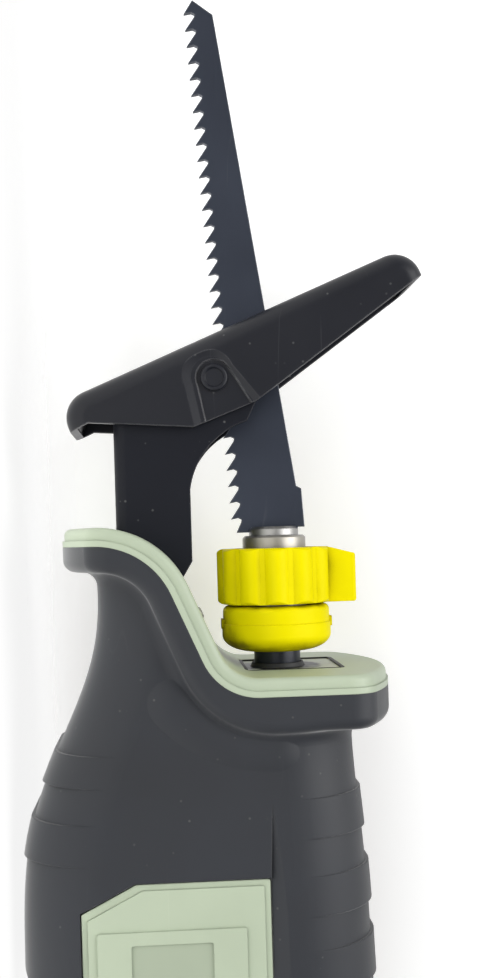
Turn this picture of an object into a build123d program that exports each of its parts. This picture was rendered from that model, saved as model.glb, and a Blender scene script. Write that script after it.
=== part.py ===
import math
import os
from build123d import *

# Cordless reciprocating saw, all lengths in millimetres.
# +X runs forward along the blade, +Z is the top of the tool, +Y its left side.
# Local sketches use x from the nose face and z from the plunger axis.

# Main sizes
BLADE_REACH = 172.4       # nose face to blade tip
TAIL_REACH = 310.0        # nose face to the rear of the battery
BELLY_DEPTH = 67.5        # plunger axis to the bench
RUBBER = 2.4              # thickness of the soft covering on the front grip
WALL = 2.5                # housing wall
GAP = 0.3                 # assembly gap between moulded pieces

# Nose: an S shaped front edge seen from the side
NOSE_STEP = 36.5          # how far the lower lip stands in front of the nose face
LIP_RADIUS = 24.0         # round between the lip and the slope
TOE_RADIUS = 10.0         # round between the slope and the nose face
LIP_Z = -45.2             # height where the lip round starts
SLOPE_TURN = 66.5         # degrees turned by each round
TRIM_DEPTH = 4.5          # thickness of the pale nose trim
FLANGE_LIP = 10.8         # lip face to the rear of the rubber flange
FLANGE_SLOPE = 10.0       # slope to the rear of the flange
FLANGE_TOE = 13.2         # nose face to the rear of the flange
FLANGE_LIP_R = 13.0       # round of its rear edge near the lip
FLANGE_TOE_R = 24.0       # round of its rear edge near the nose face
FLANGE_HALF = 33.0        # half width of the flange
FLANGE_LOW = -54.4        # lowest point of the flange
FLANGE_HIGH = 27.9        # highest point of the flange
FLANGE_BULGE = 9.0        # how far its ends bulge past its corners
FLANGE_CORNER = 7.0       # corner radius of the flange outline
FLANGE_ROUND = 3.0        # round on the rear rim of the flange
NECK_ROUND = 3.6          # round between the flange and the neck

# Body behind the nose
BODY_REAR = -120.0        # rear wall of the motor housing
BODY_ROUND = 13.0         # round of the rear edges of the motor housing
GRIP_SPLIT = -70.5        # where the rubber ends under the belly
GRIP_REAR = -97.0         # where the rubber ends at the top
RIB_RISE = 0.9            # height of the ribs on the rubber

# Side panels
PANEL_FRONT = -47.5       # front edge of a side panel
PANEL_LENGTH = 42.0       # length of a side panel
PANEL_LOW = -50.5         # lower edge
PANEL_HIGH = -6.0         # upper edge
PANEL_FACE = 31.4         # distance of the panel face from the middle
PANEL_THICK = 2.4         # panel thickness
PANEL_CORNER = 6.5        # size of the cut corners
PANEL_ROUND = 0.5         # round of its corners

# Handle and tail
FOOT_LOW = -25.0          # underside of the battery foot
HANDLE_RUBBER = 1.8       # thickness of the soft pads on the handle
HANDLE_FRONT = -98.0      # first station of the handle, inside the motor housing
FOOT_START = 6.0          # front of the battery to the first station of the foot
FOOT_END = 1.5            # rear of the battery to the last station of the foot

# Drive
PLUNGER_R = 6.0           # plunger radius
CRANK_R = 10.0            # crank radius, half the stroke
GEAR_X = -37.5            # crank gear axis
MODULE = 0.8              # gear module
GEAR_TEETH = 44
PINION_TEETH = 12
PRESSURE = 25.0           # pressure angle of the gears in degrees
BACKLASH = 0.14           # play at the pitch circle
GEAR_LOW = -16.0          # underside of the crank gear
GEAR_THICK = 7.0
RUN_FIT = 0.06            # radial play of a running fit
MOTOR_R = 18.0            # motor can radius
MOTOR_TOP = -22.0         # face where the motor bolts to the frame
MOTOR_LENGTH = 33.0

# Blade clamp
CLAMP_R = 8.2             # steel clamp body radius
COLLAR_R = 15.0           # yellow collar radius
COLLAR_REAR = 16.0
COLLAR_FRONT = 30.3
COLLAR_RIBS = 12
LEVER_REACH = 20.6        # how far the lever stands out from the axis
DOME_R = 14.1             # radius of the yellow cover behind the collar
DOME_REAR = 3.8
DOME_FRONT = 15.6

# Blade
BLADE_THICK = 1.25
TANG_WIDTH = 12.7
TANG_REAR = 14.0
TOOTH_PITCH = 25.4 / 6    # six teeth to the inch
TOOTH_DEPTH = 2.8
TOOTH_SET = 3.6           # blade tip to the front tooth tip
TOOTH_FRONT_Z = -19.4     # height of the front tooth tip
TOOTH_SLOPE = 3.65        # degrees between the tooth line and the plunger axis

# Shoe and its bracket
PIVOT_X = 73.0
PIVOT_Z = -15.0
SHOE_TILT = 23.0          # tilt of the shoe in the photograph
SHOE_LOW_END = 38.0       # pivot to the lower end
SHOE_HIGH_END = 59.0      # pivot to the upper end
SHOE_FACE = 10.4          # pivot to the front face
SHOE_HALF = 15.5          # half width
SHEET = 2.0               # thickness of the pressed steel
BRACKET_HALF = 12.5
BRACKET_SHEET = 2.4
BRACKET_WEB_Z = -40.4
CHEEK_EDGE_Z = -21.6      # free edge of the bracket cheeks
EAR_R = 11.6              # round of the bracket ears about the pivot
RIVET_R = 2.5
RIVET_HEAD_R = 3.4

# Battery
PACK_LENGTH = 104.0
PACK_HALF = 35.0
PACK_WALL = 2.2
RAIL_NECK = 20.0          # half width of the rail neck
RAIL_HEAD = 24.0          # half width of the rail head
CELL_R = 9.2
CELL_LENGTH = 65.0
CELL_COUNT = 5

# Derived places
NOSE_X = (TAIL_REACH - BLADE_REACH) / 2
AXIS_Z = BELLY_DEPTH
SLOPE = math.radians(SLOPE_TURN)
LIP_END_X = NOSE_STEP - LIP_RADIUS * (1 - math.cos(SLOPE))
LIP_END_Z = LIP_Z + LIP_RADIUS * math.sin(SLOPE)
TOE_START_X = TOE_RADIUS * (1 - math.cos(SLOPE))
TOE_Z = LIP_END_Z + (LIP_END_X - TOE_START_X) / math.tan(SLOPE) + TOE_RADIUS * math.sin(SLOPE)
MOTOR_X = GEAR_X - MODULE * (GEAR_TEETH + PINION_TEETH) / 2
PACK_FRONT = -TAIL_REACH + PACK_LENGTH
PACK_TOP = FOOT_LOW - 0.4
TOOTH_FRONT_X = BLADE_REACH - TOOTH_SET
handle_pitch = (HANDLE_FRONT - PACK_FRONT + FOOT_START) / 6
foot_pitch = (PACK_LENGTH - FOOT_START - 2 * FOOT_END) / 5
foot_x = PACK_FRONT - FOOT_START
SIDE = Plane(origin=(NOSE_X, 0, AXIS_Z), x_dir=(1, 0, 0), z_dir=(0, -1, 0))
SLOPE_MID_X = (LIP_END_X + TOE_START_X) / 2
SLOPE_MID_Z = (LIP_END_Z + TOE_Z - TOE_RADIUS * math.sin(SLOPE)) / 2

# Stations of the motor housing: x, low z, high z, half width, corner radius
BODY = [
    (34.0, -43.2, 14.9, 25.5, 14.0),
    (14.75, -43.2, 14.8, 25.5, 14.0),
    (-4.5, -48.0, 14.7, 26.0, 15.0),
    (-23.75, -56.5, 15.0, 27.2, 16.0),
    (-43.0, -62.0, 16.6, 28.8, 17.0),
    (-62.25, -63.4, 17.7, 29.7, 18.0),
    (-81.5, -63.6, 18.3, 30.0, 18.0),
    (-100.75, -63.6, 18.6, 30.0, 18.0),
    (BODY_REAR, -63.2, 18.6, 29.5, 18.0),
]
# Stations of the handle and the battery foot
HANDLE = [
    (HANDLE_FRONT, -18.0, 17.4, 25.0, 15.0),
    (HANDLE_FRONT - handle_pitch, -15.3, 18.2, 20.5, 14.0),
    (HANDLE_FRONT - 2 * handle_pitch, -14.6, 18.4, 18.0, 13.5),
    (HANDLE_FRONT - 3 * handle_pitch, -15.2, 17.6, 17.3, 13.2),
    (HANDLE_FRONT - 4 * handle_pitch, -17.2, 14.6, 17.5, 13.0),
    (HANDLE_FRONT - 5 * handle_pitch, -20.8, 11.4, 20.0, 12.5),
    (foot_x, -24.8, 8.2, 26.0, 11.5),
    (foot_x - foot_pitch, -26.8, 5.0, 31.0, 10.5),
    (foot_x - 2 * foot_pitch, -27.2, 2.0, 33.0, 10.0),
    (foot_x - 3 * foot_pitch, -27.0, -0.6, 33.5, 9.5),
    (foot_x - 4 * foot_pitch, -27.0, -3.0, 33.5, 9.0),
    (-TAIL_REACH + FOOT_END, -27.0, -5.2, 33.5, 9.0),
]


def across(x):
    """Plane across the tool at x, its axes along Y and Z."""
    return Plane(origin=(NOSE_X + x, 0, AXIS_Z), x_dir=(0, 1, 0), z_dir=(1, 0, 0))


def level(z):
    """Level plane at z, its axes along X and Y."""
    return Plane(origin=(NOSE_X, 0, AXIS_Z + z), x_dir=(1, 0, 0), z_dir=(0, 0, 1))


def flank(y):
    """Plane along the side of the tool at y, drawn in x and z, pushing towards +Y."""
    return Plane(origin=(NOSE_X, y, AXIS_Z), x_dir=(-1, 0, 0), z_dir=(0, 1, 0))


def skin(stations, grow):
    """Smooth body through rounded stations, grown outward by a thickness."""
    with BuildPart() as body:
        for x, low, high, half, corner in stations:
            with BuildSketch(across(x)):
                with Locations((0, (low + high) / 2)):
                    RectangleRounded(2 * (half + grow), high - low + 2 * grow, corner + grow)
        loft()
    return body.part


def slope_height(x, depth):
    """Height of the slope of the nose at x, set back by a depth."""
    return LIP_END_Z - (depth + (x - LIP_END_X) * math.cos(SLOPE)) / math.sin(SLOPE)


def nose_zone(lip_x, lip_r, depth, toe_x, toe_r):
    """Everything behind a lip face, a slope set back by a depth and a nose face, joined by two rounds."""
    lip_centre = (lip_x - lip_r, slope_height(lip_x - lip_r, depth + lip_r))
    toe_centre = (toe_x + toe_r, slope_height(toe_x + toe_r, depth - toe_r))
    far = -TAIL_REACH
    with BuildPart() as zone:
        with BuildSketch(SIDE):
            with BuildLine():
                lip_arc = CenterArc(lip_centre, lip_r, 0, SLOPE_TURN)
                toe_arc = CenterArc(toe_centre, toe_r, 180, SLOPE_TURN)
                Line(lip_arc @ 1, toe_arc @ 1)
                Polyline(
                    lip_arc @ 0,
                    (lip_x, -2 * BELLY_DEPTH),
                    (far, -2 * BELLY_DEPTH),
                    (far, 2 * BELLY_DEPTH),
                    (toe_x, 2 * BELLY_DEPTH),
                    toe_arc @ 0,
                )
            make_face()
        extrude(amount=2 * FLANGE_HALF, both=True)
    return zone.part


def behind_nose(depth):
    """Everything behind the S shaped nose line set back by a depth."""
    return nose_zone(NOSE_STEP - depth, LIP_RADIUS - depth, depth, -depth, TOE_RADIUS + depth)


def flange_prism(shrink):
    """Barrel shaped outline of the flange run along the whole nose."""
    half = FLANGE_HALF - shrink
    low = FLANGE_LOW + shrink
    high = FLANGE_HIGH - shrink
    with BuildPart() as prism:
        with BuildSketch(across(-2 * NOSE_STEP)):
            with BuildLine():
                base = ThreePointArc((-half, low + FLANGE_BULGE), (0, low), (half, low + FLANGE_BULGE))
                top = ThreePointArc((half, high - FLANGE_BULGE), (0, high), (-half, high - FLANGE_BULGE))
                Line(base @ 1, top @ 0)
                Line(top @ 1, base @ 0)
            outline = make_face()
            fillet(outline.vertices(), FLANGE_CORNER)
        extrude(amount=4 * NOSE_STEP)
    return prism.part


def half_space(side):
    """Block that holds one side of the tool, +1 for left and -1 for right."""
    with BuildPart() as block:
        with Locations((0, side * TAIL_REACH / 2, AXIS_Z)):
            Box(3 * TAIL_REACH, TAIL_REACH, TAIL_REACH)
    return block.part


def panel_prism(grow, near, far):
    """Side panel outline on the left, grown by an amount, between two distances from the middle."""
    front = PANEL_FRONT + grow
    rear = PANEL_FRONT - PANEL_LENGTH - grow
    low = PANEL_LOW - grow
    high = PANEL_HIGH + grow
    cut = PANEL_CORNER
    with BuildPart() as prism:
        with BuildSketch(flank(near)):
            edge = Polygon(
                (-front + cut, low),
                (-rear - cut, low),
                (-rear, low + 2 * cut),
                (-rear, high),
                (-front, high),
                (-front, low + 2 * cut),
                align=None,
            )
            fillet(edge.vertices(), PANEL_ROUND)
        extrude(amount=far - near)
    return prism.part


def gear_outline(teeth, turn):
    """Corner points of an involute spur gear."""
    pitch_r = MODULE * teeth / 2
    base_r = pitch_r * math.cos(math.radians(PRESSURE))
    root_r = pitch_r - 1.25 * MODULE
    tip_r = pitch_r + 0.95 * MODULE
    start_r = max(base_r, root_r)
    alpha = math.radians(PRESSURE)
    half = math.pi / (2 * teeth) - BACKLASH / (4 * pitch_r) + math.tan(alpha) - alpha
    flank_side = []
    for step in range(4):
        r = start_r + (tip_r - start_r) * step / 3
        phi = math.acos(base_r / r)
        flank_side.append((r, half - math.tan(phi) + phi))
    flank_side.insert(0, (root_r, half))
    points = []
    for tooth in range(teeth):
        middle = 2 * math.pi * tooth / teeth + turn
        for r, angle in flank_side:
            points.append((r * math.cos(middle - angle), r * math.sin(middle - angle)))
        for r, angle in reversed(flank_side):
            points.append((r * math.cos(middle + angle), r * math.sin(middle + angle)))
    return points


os.makedirs("parts", exist_ok=True)

# Shared bodies that several pieces are cut from
core = skin(BODY, 0)
cavity_stations = BODY[:-1] + [(BODY_REAR + WALL,) + BODY[-1][1:]]
handle_core = skin(HANDLE, 0)
handle_end = HANDLE[-1]
hollow_stations = HANDLE[:-1] + [(handle_end[0] + WALL,) + handle_end[1:]]
handle_hollow = skin(hollow_stations, -WALL)
behind_trim = behind_nose(TRIM_DEPTH)
behind_flange = nose_zone(NOSE_STEP - FLANGE_LIP, FLANGE_LIP_R, FLANGE_SLOPE, -FLANGE_TOE, FLANGE_TOE_R)
left_side = half_space(1)
right_side = half_space(-1)

# Screws close the housing from the right: x, z, depth of the head face, tip
SCREWS = [
    (-14.0, -43.0, -20.0, 10.0),
    (-108.0, -52.0, -21.0, 10.0),
    (-114.0, 9.0, -16.0, 8.0),
    (PACK_FRONT + 28.0, 4.0, -11.0, 8.0),
    (PACK_FRONT - 7.0, -7.0, -20.0, 10.0),
    (-TAIL_REACH + 14.0, -10.5, -24.0, 10.0),
]
SCREW_R = 1.8
SCREW_HEAD_R = 3.5
SCREW_HEAD = 2.4
BOSS_R = 4.6

# Trigger and lock button places
TRIGGER_FRONT = -124.0
TRIGGER_REAR = -147.0
TRIGGER_HALF = 8.0
TRIGGER_CLEAR = 0.5
TRIGGER_TRAVEL = 6.0
LOCK_X = -127.5
LOCK_Z = 4.5
LOCK_R = 4.5
LOCK_PROUD = 3.4

# Rails of the battery foot
RAIL_Z = -20.5            # where the rail neck becomes the head
RAIL_TOP = -17.0
RAIL_CLEAR = 0.5
RAIL_FRONT = PACK_FRONT - 10.0

# Switch in the handle and the hook of the battery latch
SWITCH_FRONT = -134.0
SWITCH_REAR = -170.0
SWITCH_HALF = 9.0
SWITCH_LOW = -2.5
SWITCH_HIGH = 11.5
RIB_PLACES = (-140.0, -164.0)
RIB_THICK = 2.0
HOOK_HALF = 5.0
HOOK_TOP = -15.0
HOOK_ROOM = 9.0

with BuildPart() as body_room:
    add(skin(cavity_stations, -WALL))
    fillet(body_room.faces().sort_by(Axis.X)[0].edges(), BODY_ROUND - WALL)

with BuildPart() as shell:
    add(core)
    fillet(shell.faces().sort_by(Axis.X)[0].edges(), BODY_ROUND)
    add(handle_core)
    add(body_room.part, mode=Mode.SUBTRACT)
    add(handle_hollow, mode=Mode.SUBTRACT)
    add(behind_nose(TRIM_DEPTH + 0.2), mode=Mode.INTERSECT)

with BuildPart() as foot_fill:
    foot_mid = (handle_end[0] + PACK_FRONT) / 2
    with BuildSketch(level(FOOT_LOW)):
        with Locations((foot_mid, 0)):
            Rectangle(PACK_FRONT - handle_end[0], 4 * PACK_HALF)
    extrude(amount=RAIL_TOP - FOOT_LOW + 3.5)
    add(handle_core, mode=Mode.INTERSECT)

with BuildPart() as bosses:
    with BuildSketch(SIDE):
        for x, z, seat, tip in SCREWS:
            with Locations((x, z)):
                Circle(BOSS_R)
    extrude(amount=2 * PACK_HALF, both=True)

with BuildPart() as boss_trim:
    add(bosses.part)
    add(core + handle_core, mode=Mode.INTERSECT)

with BuildPart() as rail_slot:
    slot_rear = -TAIL_REACH - 2
    slot_front = RAIL_FRONT + RAIL_CLEAR
    slot_mid = (slot_rear + slot_front) / 2
    with BuildSketch(level(FOOT_LOW - 5)):
        with Locations((slot_mid, 0)):
            Rectangle(slot_front - slot_rear, 2 * (RAIL_NECK + RAIL_CLEAR))
    extrude(amount=RAIL_Z - FOOT_LOW + 5)
    with BuildSketch(level(RAIL_Z - RAIL_CLEAR)):
        with Locations((slot_mid, 0)):
            Rectangle(slot_front - slot_rear, 2 * (RAIL_HEAD + RAIL_CLEAR))
    extrude(amount=RAIL_TOP - RAIL_Z + 2 * RAIL_CLEAR)

with BuildPart() as below_foot:
    with BuildSketch(level(FOOT_LOW)):
        with Locations(((slot_rear + PACK_FRONT + 2) / 2, 0)):
            Rectangle(PACK_FRONT + 2 - slot_rear, 4 * PACK_HALF)
    extrude(amount=-BELLY_DEPTH)

with BuildPart() as screw_holes:
    for x, z, seat, tip in SCREWS:
        with BuildSketch(flank(seat)):
            with Locations((-x, z)):
                Circle(SCREW_R + 0.1)
        extrude(amount=tip + 1 - seat)
        with BuildSketch(flank(seat)):
            with Locations((-x, z)):
                Circle(SCREW_HEAD_R + 0.4)
        extrude(amount=-2 * PACK_HALF)

with BuildPart() as switch_ribs:
    with BuildSketch(level(SWITCH_LOW)):
        for x in RIB_PLACES:
            with Locations((x, 0)):
                Rectangle(RIB_THICK, 4 * PACK_HALF)
    extrude(amount=BELLY_DEPTH)
    add(skin(HANDLE, -WALL / 2), mode=Mode.INTERSECT)
    with BuildSketch(level(SWITCH_LOW - 0.2)):
        with Locations(((SWITCH_FRONT + SWITCH_REAR) / 2, 0)):
            Rectangle(SWITCH_FRONT - SWITCH_REAR, 2 * SWITCH_HALF + 0.4)
    extrude(amount=SWITCH_HIGH - SWITCH_LOW + 0.4, mode=Mode.SUBTRACT)

with BuildPart() as hook_room:
    with BuildSketch(level(FOOT_LOW)):
        with Locations((-TAIL_REACH + HOOK_ROOM / 2, 0)):
            Rectangle(HOOK_ROOM, 2 * HOOK_HALF + 1)
    extrude(amount=HOOK_TOP + 0.5 - FOOT_LOW)

VENT_X = [-101.0, -105.5, -110.0, -114.5]
with BuildPart() as vents:
    with BuildSketch(SIDE):
        for x in VENT_X:
            with Locations((x, -26.0)):
                SlotOverall(26.0, 2.6, rotation=80)
    extrude(amount=2 * FLANGE_HALF, both=True)

with BuildPart() as trigger_hole:
    trigger_mid = (TRIGGER_FRONT + TRIGGER_REAR) / 2
    trigger_len = TRIGGER_FRONT - TRIGGER_REAR
    with BuildSketch(level(-BELLY_DEPTH)):
        with Locations((trigger_mid, 0)):
            Rectangle(trigger_len + 2 * TRIGGER_CLEAR, 2 * (TRIGGER_HALF + TRIGGER_CLEAR))
    extrude(amount=BELLY_DEPTH - 9.0)

with BuildPart() as lock_hole:
    with BuildSketch(SIDE):
        with Locations((LOCK_X, LOCK_Z)):
            Circle(LOCK_R + 0.4)
    extrude(amount=FLANGE_HALF, both=True)

panel_seat = panel_prism(0.1, PANEL_FACE - PANEL_THICK - 0.1, 2 * FLANGE_HALF)
panel_seat_right = mirror(panel_seat, about=Plane.XZ)

with BuildPart() as housing:
    add(shell.part)
    add(foot_fill.part)
    add(boss_trim.part)
    add(switch_ribs.part)
    add(hook_room.part, mode=Mode.SUBTRACT)
    add(below_foot.part, mode=Mode.SUBTRACT)
    add(rail_slot.part, mode=Mode.SUBTRACT)
    add(screw_holes.part, mode=Mode.SUBTRACT)
    add(vents.part, mode=Mode.SUBTRACT)
    add(trigger_hole.part, mode=Mode.SUBTRACT)
    add(lock_hole.part, mode=Mode.SUBTRACT)
    add(panel_seat, mode=Mode.SUBTRACT)
    add(panel_seat_right, mode=Mode.SUBTRACT)

with BuildPart() as housing_left:
    add(housing.part)
    add(left_side, mode=Mode.INTERSECT)
housing_left.part.label = "housing_left"
export_step(housing_left.part, "parts/housing_left.step")

with BuildPart() as housing_right:
    add(housing.part)
    add(right_side, mode=Mode.INTERSECT)
housing_right.part.label = "housing_right"
export_step(housing_right.part, "parts/housing_right.step")

# Soft front grip: a skin over the housing with a flange behind the nose trim
TOP_RIBS = [(-29.4, -38.8), (-47.6, -57.0), (-65.0, -75.2)]
BELLY_RIBS = [(-17.8, -25.2), (-33.6, -43.0)]
RIB_SINK = 0.12           # how far the sides of the ribs lie inside the covering
RIB_MIDDLE = -20.0        # height where the ribs end inside the covering
WELT_R = 14.0             # round of the welt behind the flange
WELT_SET = 6.0            # how far it runs behind the flange
WELT_FACE = 29.9          # distance of its crest from the middle
WELT_TURN = 55.0          # degrees it runs round the flange
CREASE_FRONT = -27.0      # where the crease above the panel starts
CREASE_DEPTH = 1.2        # depth of the crease beside the panel
CREASE_WIDTH = 2.8        # width of the crease beside the panel

with BuildPart() as grip_zone:
    with BuildSketch(SIDE):
        with BuildLine():
            rear_edge = Spline(
                (GRIP_SPLIT + 3, -BELLY_DEPTH),
                (GRIP_SPLIT - 17, -50.0),
                (GRIP_REAR, -8.0),
                tangents=((-0.85, 0.5), (0, 1)),
            )
            Polyline(
                rear_edge @ 0,
                (GRIP_SPLIT + 3, -2 * BELLY_DEPTH),
                (2 * NOSE_STEP, -2 * BELLY_DEPTH),
                (2 * NOSE_STEP, 2 * BELLY_DEPTH),
                (GRIP_REAR, 2 * BELLY_DEPTH),
                rear_edge @ 1,
            )
        make_face()
    extrude(amount=2 * FLANGE_HALF, both=True)

with BuildPart() as flange:
    add(behind_trim)
    add(behind_flange, mode=Mode.SUBTRACT)
    add(flange_prism(0), mode=Mode.INTERSECT)

covering = skin(BODY, RUBBER)
flange_inside = flange_prism(0.05)


def on_flange_rear(edge):
    """True when the middle of an edge lies on the rear face of the flange."""
    middle = Vertex(*(edge @ 0.5))
    return min(face.distance_to(middle) for face in behind_flange.faces()) < 0.02


def touches_neck(edge):
    """True when the middle of an edge lies on the rubber of the neck."""
    return covering.distance_to(Vertex(*(edge @ 0.5))) < 0.01


def on_flange_side(edge):
    """True when the middle of an edge lies on the outside of the flange."""
    return flange_inside.distance_to(Vertex(*(edge @ 0.5))) > 0.02


with BuildPart() as neck:
    add(covering)
    add(behind_trim, mode=Mode.INTERSECT)
    add(flange.part)
    fillet([e for e in neck.edges() if on_flange_rear(e) and touches_neck(e)], NECK_ROUND)
    fillet([e for e in neck.edges() if on_flange_rear(e) and on_flange_side(e)], FLANGE_ROUND)


# Low welt on each side that follows the round of the flange
WELT_X = FLANGE_TOE_R - FLANGE_TOE
WELT_Z = slope_height(WELT_X, FLANGE_SLOPE - FLANGE_TOE_R)
WELT_RUN = FLANGE_TOE_R + WELT_SET
WELT_PLANE = Plane(origin=(NOSE_X + WELT_X, 0, AXIS_Z + WELT_Z), x_dir=(-1, 0, 0), z_dir=(0, 0, 1))
welt_end = math.radians(180 + WELT_TURN)
with BuildPart() as welts:
    with BuildSketch(WELT_PLANE):
        with Locations((WELT_RUN, WELT_R - WELT_FACE)):
            Circle(WELT_R)
    revolve(axis=Axis(WELT_PLANE.origin, (0, -1, 0)), revolution_arc=WELT_TURN)
    for angle in (math.pi, welt_end):
        x = NOSE_X + WELT_X + WELT_RUN * math.cos(angle)
        z = AXIS_Z + WELT_Z + WELT_RUN * math.sin(angle)
        with Locations((x, WELT_FACE - WELT_R, z)):
            Sphere(WELT_R)
    mirror(about=Plane.XZ)
    add(behind_flange, mode=Mode.INTERSECT)


def rib_bands(places, side):
    """Bands of a narrower covering lifted along Z, so that they run out where the side is upright."""
    lift = side * RIB_RISE
    lifted = [(x, low + lift, high + lift, half - RIB_SINK, corner) for x, low, high, half, corner in BODY]
    with BuildPart() as bands:
        with BuildSketch(SIDE):
            for front, rear in places:
                with Locations(((front + rear) / 2, RIB_MIDDLE + side * BELLY_DEPTH / 2)):
                    Rectangle(front - rear, BELLY_DEPTH)
        extrude(amount=2 * FLANGE_HALF, both=True)
        add(skin(lifted, RUBBER), mode=Mode.INTERSECT)
    return bands.part


def side_half(x):
    """Half width of the housing at x, straight between its stations."""
    for ahead, behind in zip(BODY, BODY[1:]):
        if behind[0] <= x <= ahead[0]:
            share = (ahead[0] - x) / (ahead[0] - behind[0])
            return ahead[3] + share * (behind[3] - ahead[3])


# Crease sections: x, height of the steep wall, depth
CREASE = [
    (CREASE_FRONT, PANEL_HIGH + GAP + 1.0, -0.2),
    (PANEL_FRONT, PANEL_HIGH + GAP, CREASE_DEPTH),
    (GRIP_REAR - 2, PANEL_HIGH + GAP, CREASE_DEPTH),
]
CREASE_SLOPE = CREASE_WIDTH / CREASE_DEPTH
with BuildPart() as crease:
    for x, wall, depth in CREASE:
        floor = side_half(x) + RUBBER - depth
        with BuildSketch(across(x)):
            Polygon((floor, wall), (floor + 4, wall), (floor + 4, wall + 4 * CREASE_SLOPE), align=None)
    loft(ruled=True)

with BuildPart() as grip:
    add(neck.part)
    add(welts.part)
    add(grip_zone.part, mode=Mode.INTERSECT)
    add(rib_bands(TOP_RIBS, 1))
    add(rib_bands(BELLY_RIBS, -1))
    add(core, mode=Mode.SUBTRACT)

with BuildPart() as grip_cuts:
    add(panel_prism(GAP, 0, 2 * FLANGE_HALF))
    add(crease.part)
    mirror(about=Plane.XZ)
    with BuildSketch(flank(0)):
        with Locations((-SCREWS[0][0], SCREWS[0][1])):
            Circle(SCREW_HEAD_R + 0.8)
    extrude(amount=-2 * FLANGE_HALF)

with BuildPart() as grip_left:
    add(grip.part)
    add(grip_cuts.part, mode=Mode.SUBTRACT)
    add(left_side, mode=Mode.INTERSECT)
grip_left.part.label = "grip_left"
export_step(grip_left.part, "parts/grip_left.step")

with BuildPart() as grip_right:
    add(grip.part)
    add(grip_cuts.part, mode=Mode.SUBTRACT)
    add(right_side, mode=Mode.INTERSECT)
grip_right.part.label = "grip_right"
export_step(grip_right.part, "parts/grip_right.step")

# Side panels: stepped frames round a bare recess
PANEL_RIM = 1.4           # width of the lower outer rim
PANEL_STEP = 0.5          # height of each step
PLATE_INSET = 10.9        # edge of the raised plate from the front edge of the panel
PLATE_HALF = 17.6         # half height of the raised plate
PLATE_MID = -29.4         # its middle height
RECESS_INSET = 3.2        # edge of the recess from the front edge of the plate
RECESS_HALF = 9.6         # half height of the recess

with BuildPart() as side_panel:
    add(panel_prism(0, PANEL_FACE - PANEL_THICK, PANEL_FACE - PANEL_STEP))
    add(panel_prism(-PANEL_RIM, PANEL_FACE - PANEL_THICK, PANEL_FACE))
    plate_length = PANEL_LENGTH - 2 * PLATE_INSET
    with BuildSketch(flank(PANEL_FACE)):
        with Locations((-PANEL_FRONT + PANEL_LENGTH / 2, PLATE_MID)):
            RectangleRounded(plate_length, 2 * PLATE_HALF, PANEL_ROUND)
    extrude(amount=PANEL_STEP)
    with BuildSketch(flank(PANEL_FACE + PANEL_STEP)):
        with Locations((-PANEL_FRONT + PANEL_LENGTH / 2, PLATE_MID)):
            RectangleRounded(plate_length - 2 * RECESS_INSET, 2 * RECESS_HALF, PANEL_ROUND)
    extrude(amount=-PANEL_STEP, mode=Mode.SUBTRACT)

with BuildPart() as panel_left:
    add(side_panel.part)
panel_left.part.label = "panel_left"
export_step(panel_left.part, "parts/panel_left.step")

with BuildPart() as panel_right:
    add(mirror(side_panel.part, about=Plane.XZ))
panel_right.part.label = "panel_right"
export_step(panel_right.part, "parts/panel_right.step")

# Nose trim: a pale S shaped cap with a proud rim next to the rubber
TRIM_RIM = 1.5            # depth of the proud rim
TRIM_INSET = 0.5          # how far the band stands in from the rim
SEAL_LOW = -PLUNGER_R - 3.3
SEAL_HIGH = 15.7
SEAL_HALF = 14.5
SEAL_FRAME = 0.8          # width of the black frame
SEAL_SET = 0.3            # how far the seal plate lies behind the nose face
LENS_R = 1.6
LENS_PROUD = 0.6          # how far the lens stands out of the trim
SLOPE_NORMAL = (math.cos(SLOPE), 0, math.sin(SLOPE))
LENS_PLANE = Plane(
    origin=(NOSE_X + SLOPE_MID_X, 0, AXIS_Z + SLOPE_MID_Z),
    x_dir=(0, 1, 0),
    z_dir=SLOPE_NORMAL,
)

with BuildPart() as trim_band:
    add(behind_nose(0))
    add(behind_nose(TRIM_DEPTH - TRIM_RIM), mode=Mode.SUBTRACT)
    add(flange_prism(TRIM_INSET), mode=Mode.INTERSECT)


def on_front(edge):
    """True for the outer edges of the front face of the nose trim."""
    middle = edge @ 0.5
    x = middle.X - NOSE_X
    z = middle.Z - AXIS_Z
    outside = not behind_face(x, z)
    inner_seam = abs(middle.Y) < 0.01 and FLANGE_LOW + 5 < z < FLANGE_HIGH - 5
    return outside and not inner_seam


def behind_face(x, z):
    """True when a point lies more than a hair behind the S shaped nose line."""
    hair = 0.01
    if z < LIP_Z:
        return x < NOSE_STEP - hair
    if z > TOE_Z:
        return x < -hair
    from_lip = math.hypot(x - NOSE_STEP + LIP_RADIUS, z - LIP_Z)
    if z < LIP_END_Z:
        return from_lip < LIP_RADIUS - hair
    if z > TOE_Z - TOE_RADIUS * math.sin(SLOPE):
        return math.hypot(x - TOE_RADIUS, z - TOE_Z) > TOE_RADIUS + hair
    along = (x - LIP_END_X) * math.cos(SLOPE) + (z - LIP_END_Z) * math.sin(SLOPE)
    return along < -hair


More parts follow.
